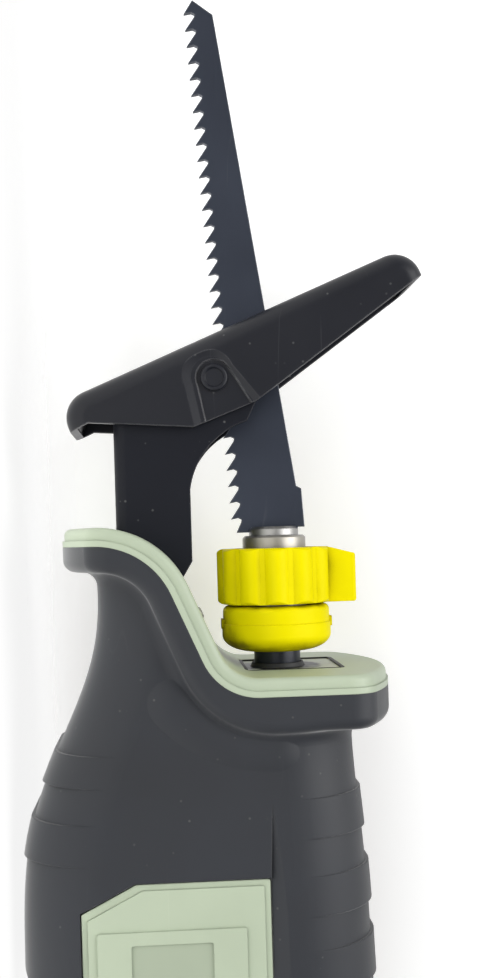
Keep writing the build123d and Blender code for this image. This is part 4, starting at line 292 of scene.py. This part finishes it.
def dust_specks():
    """Mask of small specks of dust, gathered in patches."""
    tree, start, end = new_group(
        "Dust specks",
        [("Spacing", "NodeSocketFloat", 420.0), ("Amount", "NodeSocketFloat", 0.5)],
        [("Mask", "NodeSocketFloat")],
    )
    place = add_node(tree, "ShaderNodeTexCoord")
    cells = add_node(tree, "ShaderNodeTexVoronoi")
    dot = add_node(tree, "ShaderNodeMapRange")
    dot.inputs["From Min"].default_value = 0.16
    dot.inputs["From Max"].default_value = 0.06
    pick = add_node(tree, "ShaderNodeSeparateColor")
    few = add_node(tree, "ShaderNodeMapRange")
    few.inputs["From Min"].default_value = 0.82
    few.inputs["From Max"].default_value = 1.0
    wire(tree, place.outputs["Object"], cells.inputs["Vector"])
    wire(tree, start.outputs["Spacing"], cells.inputs["Scale"])
    wire(tree, cells.outputs["Distance"], dot.inputs["Value"])
    wire(tree, cells.outputs["Color"], pick.inputs[0])
    wire(tree, pick.outputs["Red"], few.inputs["Value"])
    chosen = scaled_value(tree, dot.outputs["Result"], few.outputs["Result"])
    wire(tree, scaled_value(tree, chosen, start.outputs["Amount"]), end.inputs["Mask"])
    return tree


def grease_ring():
    """Mask of the grease that the plunger leaves round its hole."""
    tree, start, end = new_group(
        "Grease ring",
        [
            ("Axis Height", "NodeSocketFloat", 67.5 * MM),
            ("Inner", "NodeSocketFloat", 9.0 * MM),
            ("Outer", "NodeSocketFloat", 13.0 * MM),
            ("Amount", "NodeSocketFloat", 1.0),
        ],
        [("Mask", "NodeSocketFloat")],
    )
    place = add_node(tree, "ShaderNodeTexCoord")
    parts = add_node(tree, "ShaderNodeSeparateXYZ")
    height = add_node(tree, "ShaderNodeMath", operation="SUBTRACT")
    off_axis = add_node(tree, "ShaderNodeCombineXYZ")
    far = add_node(tree, "ShaderNodeVectorMath", operation="LENGTH")
    smear = add_node(tree, "ShaderNodeTexNoise")
    smear.inputs["Scale"].default_value = 320.0
    smear.inputs["Detail"].default_value = 4.0
    shift = add_node(tree, "ShaderNodeMapRange")
    shift.inputs["To Min"].default_value = -5.0 * MM
    shift.inputs["To Max"].default_value = 5.0 * MM
    ragged = add_node(tree, "ShaderNodeMath", operation="ADD")
    fade = add_node(tree, "ShaderNodeMapRange", interpolation_type="SMOOTHSTEP")
    fade.inputs["To Min"].default_value = 1.0
    fade.inputs["To Max"].default_value = 0.0
    wire(tree, place.outputs["Object"], parts.inputs[0])
    wire(tree, parts.outputs["Z"], height.inputs[0])
    wire(tree, start.outputs["Axis Height"], height.inputs[1])
    wire(tree, parts.outputs["Y"], off_axis.inputs["Y"])
    wire(tree, height.outputs[0], off_axis.inputs["Z"])
    wire(tree, off_axis.outputs[0], far.inputs[0])
    wire(tree, place.outputs["Object"], smear.inputs["Vector"])
    wire(tree, smear.outputs["Fac"], shift.inputs["Value"])
    wire(tree, far.outputs["Value"], ragged.inputs[0])
    wire(tree, shift.outputs["Result"], ragged.inputs[1])
    wire(tree, ragged.outputs[0], fade.inputs["Value"])
    wire(tree, start.outputs["Inner"], fade.inputs["From Min"])
    wire(tree, start.outputs["Outer"], fade.inputs["From Max"])
    wire(tree, scaled_value(tree, fade.outputs["Result"], start.outputs["Amount"]), end.inputs["Mask"])
    return tree


GROUPS = {}


def group_node(tree, name, **values):
    """Placed copy of a shared group with its own values."""
    if name not in GROUPS:
        makers = {
            "Moulded grain": moulded_grain,
            "Edge wear and painted highlight": edge_wear_and_painted_highlight,
            "Tone drift": tone_drift,
            "Grinding lines": grinding_lines,
            "Crevice dirt and painted shade": crevice_dirt_and_painted_shade,
            "Hair scratches": hair_scratches,
            "Dust specks": dust_specks,
            "Grease ring": grease_ring,
        }
        GROUPS[name] = makers[name]()
    node = add_node(tree, "ShaderNodeGroup", node_tree=GROUPS[name])
    for key, value in values.items():
        node.inputs[key.replace("_", " ").title()].default_value = value
    return node


def tinted(tree, colour, mask, tint):
    """Colour mixed towards a tint by a mask."""
    blend = add_node(tree, "ShaderNodeMix", data_type="RGBA")
    factor, first, second = blend.inputs[0], blend.inputs[6], blend.inputs[7]
    wire(tree, mask, factor)
    wire(tree, colour, first)
    second.default_value = (*tint, 1.0)
    return blend.outputs[2]


def finish(name, colour, rough, metal=0.0, grain=2200.0, bump=0.1, drift=0.06, lines=None, edge=0.35,
           wear_and_highlight_colour=None, wear_and_highlight=0.0, dirt_and_shade=0.0, reach=2.0, open_to=0.8, dirt_and_shade_colour=(0.03, 0.028, 0.024),
           scratch=0.0, scrape=(0.5, 0.5, 0.5), specks=0.0, dust=(0.2, 0.2, 0.2), grease=0.0,
           rough_drift=0.08, **sockets):
    """Procedural material: colour with a slow drift, grain or grinding lines, rounded edges, edge wear with
    a painted highlight, and dirt with painted shade in crevices.

    The edge round and the reach of the crevice dirt and painted shade are in millimetres."""
    material = bpy.data.materials.new(name)
    material.use_nodes = True
    tree = material.node_tree
    tree.nodes.clear()
    out = add_node(tree, "ShaderNodeOutputMaterial")
    shader = add_node(tree, "ShaderNodeBsdfPrincipled")
    shader.inputs["Metallic"].default_value = metal
    for key, value in sockets.items():
        shader.inputs[key.replace("_", " ")].default_value = value
    wire(tree, shader.outputs[0], out.inputs["Surface"])
    texture = group_node(tree, "Moulded grain", scale=grain)
    tone = group_node(tree, "Tone drift", color=(*colour, 1.0), amount=drift)
    wire(tree, texture.outputs["Drift"], tone.inputs["Drift"])
    surface_colour = tone.outputs["Color"]
    # painted shade with dirt: occluded places are tinted darker towards the dirt colour
    if dirt_and_shade:
        mask = group_node(tree, "Crevice dirt and painted shade", reach=reach * MM, start=open_to, amount=dirt_and_shade)
        surface_colour = tinted(tree, surface_colour, mask.outputs["Mask"], dirt_and_shade_colour)
    if grease:
        mask = group_node(tree, "Grease ring", amount=grease)
        surface_colour = tinted(tree, surface_colour, mask.outputs["Mask"], GREASE_COLOUR)
    if specks:
        mask = group_node(tree, "Dust specks", amount=specks)
        surface_colour = tinted(tree, surface_colour, mask.outputs["Mask"], dust)
    if scratch:
        mask = group_node(tree, "Hair scratches", amount=scratch)
        surface_colour = tinted(tree, surface_colour, mask.outputs["Mask"], scrape)
    # wear and painted highlight: rounded edges are lightened towards a pale tint
    if wear_and_highlight_colour:
        mask = group_node(tree, "Edge wear and painted highlight", amount=wear_and_highlight)
        surface_colour = tinted(tree, surface_colour, mask.outputs["Mask"], wear_and_highlight_colour)
    wire(tree, surface_colour, shader.inputs["Base Color"])
    spread = add_node(tree, "ShaderNodeMapRange")
    spread.inputs["To Min"].default_value = rough - rough_drift
    spread.inputs["To Max"].default_value = rough + rough_drift
    wire(tree, texture.outputs["Drift"], spread.inputs["Value"])
    wire(tree, spread.outputs["Result"], shader.inputs["Roughness"])
    relief = add_node(tree, "ShaderNodeBump")
    relief.inputs["Strength"].default_value = bump
    relief.inputs["Distance"].default_value = 0.1 * MM
    rounded = add_node(tree, "ShaderNodeBevel", samples=4)
    rounded.inputs["Radius"].default_value = edge * MM
    if lines:
        ground = group_node(tree, "Grinding lines", scale=lines)
        wire(tree, ground.outputs["Height"], relief.inputs["Height"])
    else:
        wire(tree, texture.outputs["Height"], relief.inputs["Height"])
    wire(tree, rounded.outputs["Normal"], relief.inputs["Normal"])
    wire(tree, relief.outputs["Normal"], shader.inputs["Normal"])
    return material


def dress(material, *names):
    """Gives CAD nodes one finish."""
    for name in names:
        mesh = NODES[name].data
        mesh.materials.clear()
        mesh.materials.append(material)


def dress_where(material, name, test):
    """Gives the faces of a CAD node whose middle passes a test another finish."""
    mesh = NODES[name].data
    mesh.materials.append(material)
    for face in mesh.polygons:
        if test(face.center):
            face.material_index = len(mesh.materials) - 1


def colour_property(label, words, value):
    """Colour setting with its label and its description."""
    return FloatVectorProperty(
        name=label, description=words, subtype="COLOR", size=3, min=0.0, max=1.0, default=value
    )


class SawColours(bpy.types.PropertyGroup):
    """Colours of the finishes."""

    rubber: colour_property("Rubber", "Soft covering of the front grip", (0.0116, 0.0139, 0.0199))
    sage: colour_property("Sage", "Nose trim and side panels", (0.455, 0.525, 0.393))
    yellow: colour_property("Yellow", "Blade clamp collar and cover", (0.92, 0.80, 0.0))
    paint: colour_property("Paint", "Shoe", (0.006, 0.0068, 0.0115))
    blade: colour_property("Blade", "Blued blade", (0.058, 0.066, 0.088))
    steel: colour_property("Steel", "Machined steel", (0.50, 0.49, 0.46))
    grey: colour_property("Grey", "Hard housing", (0.28, 0.28, 0.265))
    black: colour_property("Black", "Hard black plastic", (0.016, 0.016, 0.018))


class SawStage(bpy.types.PropertyGroup):
    """Camera and lamps."""

    eye: FloatVectorProperty(
        name="Eye", description="Camera place", subtype="TRANSLATION", size=3,
        default=(0.10183, 0.33075, 0.03796),
    )
    aim: FloatVectorProperty(
        name="Aim", description="Point the camera looks at", subtype="TRANSLATION", size=3,
        default=(0.10108, 0.0, 0.05843),
    )
    up: FloatVectorProperty(
        name="Up", description="Direction that is up in the picture", subtype="DIRECTION", size=3,
        default=(0.99955, 0.0, 0.03002),
    )
    lens: FloatProperty(
        name="Lens", description="Focal length in millimetres", subtype="DISTANCE_CAMERA", default=46.98
    )
    rise: FloatProperty(name="Rise", description="Upward shift of the picture", default=52 / 978)
    sky: FloatProperty(name="Sky", description="Strength of the white surroundings", default=0.22)
    key: FloatProperty(name="Key", description="Power of the lamp above", unit="POWER", default=7.6)
    fill: FloatProperty(
        name="Fill", description="Power of the lamp beside the camera", unit="POWER", default=0.2
    )


class SawOperator:
    """Shared by the operators of this file."""

    bl_options = {"REGISTER"}


class SAW_OT_blade(SawOperator, bpy.types.Operator):
    """Blued blade with grinding lines"""

    bl_idname = "saw.blade"
    bl_label = "Blade"

    def execute(self, context):
        colours = context.scene.saw_colours
        # painted highlight with wear: the pale edge tint draws the bright line along the blade's spine and
        # teeth
        dress(finish("Blued blade steel", colours.blade, 0.4, metal=1.0, lines=1800.0, bump=0.2, edge=0.2,
                     wear_and_highlight_colour=(0.42, 0.43, 0.45), wear_and_highlight=0.7, scratch=0.2, scrape=(0.2, 0.2, 0.21)), "blade")
        return {"FINISHED"}


class SAW_OT_shoe(SawOperator, bpy.types.Operator):
    """Painted shoe, bracket and rivets"""

    bl_idname = "saw.shoe"
    bl_label = "Shoe and bracket"

    def execute(self, context):
        colours = context.scene.saw_colours
        # painted highlight with wear: the pale edge tint draws the lit lines along the shoe's edges
        paint = finish("Satin black paint", colours.paint, 0.36, grain=900.0, bump=0.12, edge=0.5,
                       wear_and_highlight_colour=(0.24, 0.24, 0.25), wear_and_highlight=1.0, scratch=0.2, scrape=(0.1, 0.1, 0.11),
                       specks=0.4, dust=(0.2, 0.2, 0.2), Specular_IOR_Level=0.35)
        dress(paint, "shoe")
        # painted shade: a duller copy of the shoe paint, with less specular and a dimmer edge tint, because
        # the bracket lies deeper in shadow
        dress(finish("Bracket paint in painted shade", (0.006, 0.007, 0.012), 0.42, grain=900.0, bump=0.14, edge=0.5,
                     wear_and_highlight_colour=(0.14, 0.14, 0.15), wear_and_highlight=0.8, specks=0.5, dust=(0.2, 0.2, 0.2),
                     Specular_IOR_Level=0.2), "shoe_bracket")
        dress(finish("Blackened rivet", (0.007, 0.008, 0.013), 0.38, edge=0.3, Specular_IOR_Level=0.35),
              "shoe_rivets")
        dress(finish("Washer steel", colours.steel, 0.4, metal=1.0), "shoe_washers", "bracket_bolt")
        return {"FINISHED"}


class SAW_OT_clamp(SawOperator, bpy.types.Operator):
    """Yellow collar and cover, steel clamp and plunger"""

    bl_idname = "saw.clamp"
    bl_label = "Blade clamp"

    def execute(self, context):
        colours = context.scene.saw_colours
        # painted shade: the crevice mask reaches 8 mm, so the dome's underside and the collar's grooves are
        # darkened as if in shade
        dress(finish("Yellow moulding", colours.yellow, 0.45, bump=0.05, edge=0.4, dirt_and_shade=0.9, reach=8.0,
                     open_to=0.95, dirt_and_shade_colour=(0.13, 0.095, 0.0), Specular_IOR_Level=0.05),
              "clamp_collar", "clamp_cover")
        dress(finish("Turned steel", (0.39, 0.37, 0.33), 0.42, metal=1.0, lines=900.0, dirt_and_shade=0.6),
              "clamp_body", "clamp_pin", "clamp_spring")
        ring_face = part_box("clamp_body")[1][0] - CLAMP_NOSE
        dress_where(finish("Hardened clamp nose", (0.36, 0.355, 0.345), 0.4, metal=1.0, lines=900.0),
                    "clamp_body", lambda middle: middle.x > ring_face)
        dress(finish("Greased black steel", (0.012, 0.014, 0.024), 0.32, metal=0.3), "plunger")
        return {"FINISHED"}


def on_plate(name):
    """Test for the faces in the recess at the middle of a side panel."""
    low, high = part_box(name)

    def test(middle):
        along = abs(middle.x - (low[0] + high[0]) / 2)
        upward = abs(middle.z - (low[2] + high[2]) / 2 - PLATE_RISE)
        return along < PLATE_REACH and upward < PLATE_HEIGHT / 2
    return test


class SAW_OT_nose(SawOperator, bpy.types.Operator):
    """Nose trim, lamp lens and plunger seal"""

    bl_idname = "saw.nose"
    bl_label = "Nose"

    def execute(self, context):
        colours = context.scene.saw_colours
        dress(finish("Sage moulding", colours.sage, 0.45, bump=0.06, edge=0.4, dirt_and_shade=0.35, scratch=0.12,
                     scrape=(0.62, 0.68, 0.56)), "nose_trim", "panel_left", "panel_right", "pack_latch")
        # painted shade: the recessed plate of each side panel gets a darkened copy of the sage
        plate = finish("Sage plate in painted shade", PLATE_PAINTED_SHADE * Vector(colours.sage), 0.5, bump=0.06, dirt_and_shade=0.35)
        for name in ("panel_left", "panel_right"):
            dress_where(plate, name, on_plate(name))
        # painted highlight: the milky white base makes the small lens show as a bright glint
        dress(finish("Lamp lens with painted glint", (0.92, 0.93, 0.9), 0.12, bump=0.02, rough_drift=0.03,
                     Transmission_Weight=0.25, Coat_Weight=1.0), "led_lens")
        dress(finish("Seal rubber", (0.012, 0.012, 0.013), 0.55), "seal_frame", "wiper_seal")
        dress(finish("Seal plate coating", (0.56, 0.60, 0.52), 0.4, bump=0.05, dirt_and_shade=0.4, grease=1.0),
              "seal_plate")
        return {"FINISHED"}


class SAW_OT_grip(SawOperator, bpy.types.Operator):
    """Ribbed rubber grip and handle pads"""

    bl_idname = "saw.grip"
    bl_label = "Grip"

    def execute(self, context):
        colours = context.scene.saw_colours
        # painted shade: the crevice mask darkens the rubber in the corner under the flange and in other
        # hollows
        rubber = finish("Soft rubber", colours.rubber, 0.58, grain=2600.0, bump=0.16, edge=0.5, drift=0.2,
                        dirt_and_shade=0.3, dirt_and_shade_colour=(0.008, 0.008, 0.009), scratch=0.1, scrape=(0.06, 0.062, 0.066),
                        specks=0.4, dust=(0.16, 0.16, 0.15), Specular_IOR_Level=0.5, Sheen_Weight=0.6,
                        Sheen_Roughness=0.36)
        dress(rubber, "grip_left", "grip_right", "handle_pad_left", "handle_pad_right")
        return {"FINISHED"}


class SAW_OT_housing(SawOperator, bpy.types.Operator):
    """Grey housing halves and their screws"""

    bl_idname = "saw.housing"
    bl_label = "Housing"

    def execute(self, context):
        colours = context.scene.saw_colours
        dress(finish("Grey housing", colours.grey, 0.55, grain=2000.0, bump=0.14),
              "housing_left", "housing_right")
        dress(finish("Screw steel", (0.05, 0.05, 0.055), 0.4, metal=0.8), "housing_screws")
        return {"FINISHED"}


class SAW_OT_controls(SawOperator, bpy.types.Operator):
    """Trigger, lock button, switch, board and leads"""

    bl_idname = "saw.controls"
    bl_label = "Controls"

    def execute(self, context):
        colours = context.scene.saw_colours
        dress(finish("Black moulding", colours.black, 0.5, grain=1800.0, bump=0.15),
              "trigger", "lock_button", "switch_body", "terminal_block", "motor_cap", "pack_tub", "pack_lid")
        dress(finish("Circuit board", (0.02, 0.13, 0.05), 0.35), "control_board")
        dress(finish("Lead insulation", (0.35, 0.02, 0.015), 0.45), "leads")
        return {"FINISHED"}


class SAW_OT_drive(SawOperator, bpy.types.Operator):
    """Gear frame, crank, bushes and motor"""

    bl_idname = "saw.drive"
    bl_label = "Drive"

    def execute(self, context):
        colours = context.scene.saw_colours
        dress(finish("Cast alloy", (0.36, 0.36, 0.37), 0.5, metal=1.0, grain=1200.0, bump=0.3),
              "gear_frame")
        dress(finish("Sintered bronze", (0.36, 0.19, 0.06), 0.45, metal=1.0), "front_bush", "rear_bush")
        dress(finish("Gear steel", colours.steel, 0.35, metal=1.0), "gear_axle", "crank_gear", "crank_pin",
              "crank_roller", "motor_can", "motor_screws", "motor_shaft", "pinion", "armature")
        dress(finish("Copper", (0.55, 0.2, 0.08), 0.35, metal=1.0),
              "windings", "commutator", "terminal_tabs", "pack_contacts")
        dress(finish("Ferrite", (0.03, 0.03, 0.032), 0.6), "motor_magnets", "motor_brushes")
        return {"FINISHED"}


class SAW_OT_battery(SawOperator, bpy.types.Operator):
    """Cells and straps of the battery"""

    bl_idname = "saw.battery"
    bl_label = "Battery"

    def execute(self, context):
        dress(finish("Cell sleeve", (0.02, 0.07, 0.23), 0.35), "pack_cells")
        dress(finish("Nickel strip", (0.45, 0.44, 0.4), 0.35, metal=1.0), "cell_straps")
        return {"FINISHED"}


def aimed(place, target, up):
    """Matrix of a lamp or camera at a place, looking at a target."""
    back = (Vector(place) - Vector(target)).normalized()
    right = Vector(up).cross(back).normalized()
    rise = back.cross(right)
    turn = Matrix((right, rise, back)).transposed().to_4x4()
    return Matrix.Translation(place) @ turn


def lamp(name, place, target, size, power):
    """Square soft lamp."""
    data = bpy.data.lights.new(name, "AREA")
    data.size = size
    data.energy = power
    thing = bpy.data.objects.new(name, data)
    bpy.context.scene.collection.objects.link(thing)
    thing.matrix_world = aimed(place, target, (1.0, 0.0, 0.0))
    return thing


def stage_sheet(name, turn, place, radius, inner, plain, glow, unseen):
    """Round sheet of the stage that fades out at its rim, and the parts of its material still to be joined.

    Its glow is as given to the camera, and unseen times as strong to other rays."""
    mesh = bpy.data.meshes.new(name)
    angles = [2 * math.pi * corner / SHEET_SIDES for corner in range(SHEET_SIDES)]
    points = [(radius * math.cos(angle), radius * math.sin(angle), 0.0) for angle in angles]
    mesh.from_pydata(points, [], [tuple(range(SHEET_SIDES))])
    sheet = bpy.data.objects.new(name, mesh)
    bpy.context.scene.collection.objects.link(sheet)
    sheet.matrix_world = Matrix.Translation(place) @ turn
    material = bpy.data.materials.new(name)
    material.use_nodes = True
    tree = material.node_tree
    tree.nodes.clear()
    out = add_node(tree, "ShaderNodeOutputMaterial")
    matt = add_node(tree, "ShaderNodeBsdfDiffuse")
    matt.inputs["Color"].default_value = (*plain, 1.0)
    bright = add_node(tree, "ShaderNodeEmission")
    bright.inputs["Color"].default_value = (*glow, 1.0)
    lit = add_node(tree, "ShaderNodeAddShader")
    clear = add_node(tree, "ShaderNodeBsdfTransparent")
    both = add_node(tree, "ShaderNodeMixShader")
    where = add_node(tree, "ShaderNodeTexCoord")
    far = add_node(tree, "ShaderNodeVectorMath", operation="LENGTH")
    fade = add_node(tree, "ShaderNodeMapRange", interpolation_type="SMOOTHSTEP")
    fade.inputs["From Min"].default_value = inner
    fade.inputs["From Max"].default_value = radius
    fade.inputs["To Min"].default_value = 1.0
    fade.inputs["To Max"].default_value = 0.0
    path = add_node(tree, "ShaderNodeLightPath")
    wire(tree, where.outputs["Object"], far.inputs[0])
    wire(tree, far.outputs["Value"], fade.inputs["Value"])
    wire(tree, matt.outputs[0], lit.inputs[0])
    wire(tree, bright.outputs[0], lit.inputs[1])
    wire(tree, clear.outputs[0], both.inputs[1])
    wire(tree, lit.outputs[0], both.inputs[2])
    wire(tree, both.outputs[0], out.inputs["Surface"])
    power = add_node(tree, "ShaderNodeMapRange")
    power.inputs["To Min"].default_value = unseen
    wire(tree, path.outputs["Is Camera Ray"], power.inputs["Value"])
    wire(tree, power.outputs["Result"], bright.inputs["Strength"])
    mesh.materials.append(material)
    return tree, path.outputs["Is Camera Ray"], fade.outputs["Result"], both.inputs["Fac"]


def lay_floor(height):
    """Pale floor, mostly clear to the camera so that only a soft shadow of the saw shows on it."""
    tree, seen, fade, mix = stage_sheet(
        "floor", Matrix.Identity(4), (0.0, 0.0, height), FLOOR_RADIUS, FLOOR_INNER, FLOOR_COLOUR, FLOOR_GLOW,
        FLOOR_LIGHT,
    )
    share = add_node(tree, "ShaderNodeMapRange")
    share.inputs["To Min"].default_value = 1.0
    share.inputs["To Max"].default_value = FLOOR_OPACITY
    wire(tree, seen, share.inputs["Value"])
    wire(tree, scaled_value(tree, fade, share.outputs["Result"]), mix)


def hang_backdrop(middle):
    """White sheet behind the saw's right side that shows only its front, and only to the camera."""
    turn = Matrix.Rotation(math.radians(-90), 4, "X")
    tree, seen, fade, mix = stage_sheet(
        "backdrop", turn, middle, BACKDROP_RADIUS, BACKDROP_INNER, BACKDROP_COLOUR, BACKDROP_GLOW, 0.0
    )
    place = add_node(tree, "ShaderNodeNewGeometry")
    front = add_node(tree, "ShaderNodeMath", operation="SUBTRACT")
    front.inputs[0].default_value = 1.0
    wire(tree, place.outputs["Backfacing"], front.inputs[1])
    parts = add_node(tree, "ShaderNodeSeparateXYZ")
    foot = add_node(tree, "ShaderNodeMapRange", interpolation_type="SMOOTHSTEP")
    foot.inputs["From Max"].default_value = BACKDROP_FOOT
    wire(tree, place.outputs["Position"], parts.inputs[0])
    wire(tree, parts.outputs["Z"], foot.inputs["Value"])
    shown = scaled_value(tree, scaled_value(tree, fade, seen), foot.outputs["Result"])
    wire(tree, scaled_value(tree, shown, front.outputs[0]), mix)


def white_room(stage):
    """Surroundings that are white to the camera, and for the light dimmer out to the sides and the rear."""
    world = bpy.data.worlds.new("White room")
    bpy.context.scene.world = world
    world.use_nodes = True
    tree = world.node_tree
    tree.nodes.clear()
    out = add_node(tree, "ShaderNodeOutputWorld")
    sky = add_node(tree, "ShaderNodeBackground")
    sky.inputs["Color"].default_value = (1.0, 0.985, 0.96, 1.0)
    seen = add_node(tree, "ShaderNodeBackground")
    seen.inputs["Color"].default_value = (1.0, 1.0, 1.0, 1.0)
    path = add_node(tree, "ShaderNodeLightPath")
    where = add_node(tree, "ShaderNodeTexCoord")
    parts = add_node(tree, "ShaderNodeSeparateXYZ")
    sideways = add_node(tree, "ShaderNodeMath", operation="ABSOLUTE")
    dim = add_node(tree, "ShaderNodeMath", operation="MAXIMUM")
    behind = add_node(tree, "ShaderNodeMath", operation="MAXIMUM")
    level = add_node(tree, "ShaderNodeMapRange")
    level.inputs["To Min"].default_value = stage.sky
    level.inputs["To Max"].default_value = stage.sky * SIDE_SHARE
    loss = add_node(tree, "ShaderNodeMapRange")
    loss.inputs["From Min"].default_value = 0.2
    loss.inputs["To Min"].default_value = 1.0 - GLOSS_SHARE
    loss.inputs["To Max"].default_value = GLOSS_LOSS
    gloss = add_node(tree, "ShaderNodeMath", operation="SUBTRACT")
    gloss.inputs[0].default_value = 1.0
    either = add_node(tree, "ShaderNodeMath", operation="MAXIMUM")
    any_seen = add_node(tree, "ShaderNodeMath", operation="MAXIMUM")
    both = add_node(tree, "ShaderNodeMixShader")
    wire(tree, where.outputs["Generated"], parts.inputs[0])
    wire(tree, parts.outputs["Y"], sideways.inputs[0])
    rear_part = scaled_value(tree, parts.outputs["X"], -REAR_SHARE)
    wire(tree, rear_part, dim.inputs[0])
    wire(tree, sideways.outputs[0], dim.inputs[1])
    wire(tree, dim.outputs[0], level.inputs["Value"])
    wire(tree, rear_part, behind.inputs[0])
    wire(tree, parts.outputs["Y"], behind.inputs[1])
    wire(tree, behind.outputs[0], loss.inputs["Value"])
    wire(tree, level.outputs["Result"], sky.inputs["Strength"])
    wire(tree, scaled_value(tree, loss.outputs["Result"], path.outputs["Is Glossy Ray"]), gloss.inputs[1])
    wire(tree, gloss.outputs[0], seen.inputs["Strength"])
    wire(tree, path.outputs["Is Camera Ray"], either.inputs[0])
    wire(tree, path.outputs["Is Glossy Ray"], either.inputs[1])
    wire(tree, either.outputs[0], any_seen.inputs[0])
    wire(tree, path.outputs["Is Transmission Ray"], any_seen.inputs[1])
    wire(tree, any_seen.outputs[0], both.inputs["Fac"])
    wire(tree, sky.outputs[0], both.inputs[1])
    wire(tree, seen.outputs[0], both.inputs[2])
    wire(tree, both.outputs[0], out.inputs["Surface"])


class SAW_OT_stage(SawOperator, bpy.types.Operator):
    """Floor, backdrop, lamps, white surroundings and camera"""

    bl_idname = "saw.stage"
    bl_label = "Stage"

    def execute(self, context):
        scene = context.scene
        stage = scene.saw_stage
        scene.view_settings.view_transform = "Standard"
        white_room(stage)
        low = CAD_BOX[0]
        lay_floor(low[2] - FLOOR_GAP)
        hang_backdrop((BACKDROP_X, low[1] - BACKDROP_GAP, BACKDROP_Z))
        lamp("key_lamp", KEY_PLACE, LAMP_AIM, KEY_SIZE, stage.key)
        lamp("fill_lamp", FILL_PLACE, LAMP_AIM, FILL_SIZE, stage.fill)
        data = bpy.data.cameras.new("camera")
        camera = bpy.data.objects.new("camera", data)
        scene.collection.objects.link(camera)
        camera.matrix_world = aimed(stage.eye, stage.aim, stage.up)
        data.lens = stage.lens
        data.sensor_width = SENSOR_WIDTH
        data.shift_y = stage.rise
        data.clip_start = 0.01
        data.clip_end = 20.0
        scene.camera = camera
        return {"FINISHED"}


STEPS = [
    SAW_OT_blade, SAW_OT_shoe, SAW_OT_clamp, SAW_OT_nose, SAW_OT_grip, SAW_OT_housing, SAW_OT_controls,
    SAW_OT_drive, SAW_OT_battery, SAW_OT_stage,
]


class SAW_PT_panel(bpy.types.Panel):
    """Lists the saw's steps"""

    bl_idname = "SAW_PT_panel"
    bl_label = "Saw"
    bl_space_type = "VIEW_3D"
    bl_region_type = "UI"
    bl_category = "Saw"

    def draw(self, context):
        for step in STEPS:
            self.layout.operator(step.bl_idname)


CLASSES = [SawColours, SawStage, *STEPS, SAW_PT_panel]


def register():
    for item in CLASSES:
        bpy.utils.register_class(item)
    bpy.types.Scene.saw_colours = PointerProperty(type=SawColours)
    bpy.types.Scene.saw_stage = PointerProperty(type=SawStage)


def unregister():
    del bpy.types.Scene.saw_stage
    del bpy.types.Scene.saw_colours
    for item in reversed(CLASSES):
        bpy.utils.unregister_class(item)


def main():
    register()
    for step in STEPS:
        space, name = step.bl_idname.split(".")
        getattr(getattr(bpy.ops, space), name)()


if __name__ == "__main__":
    main()
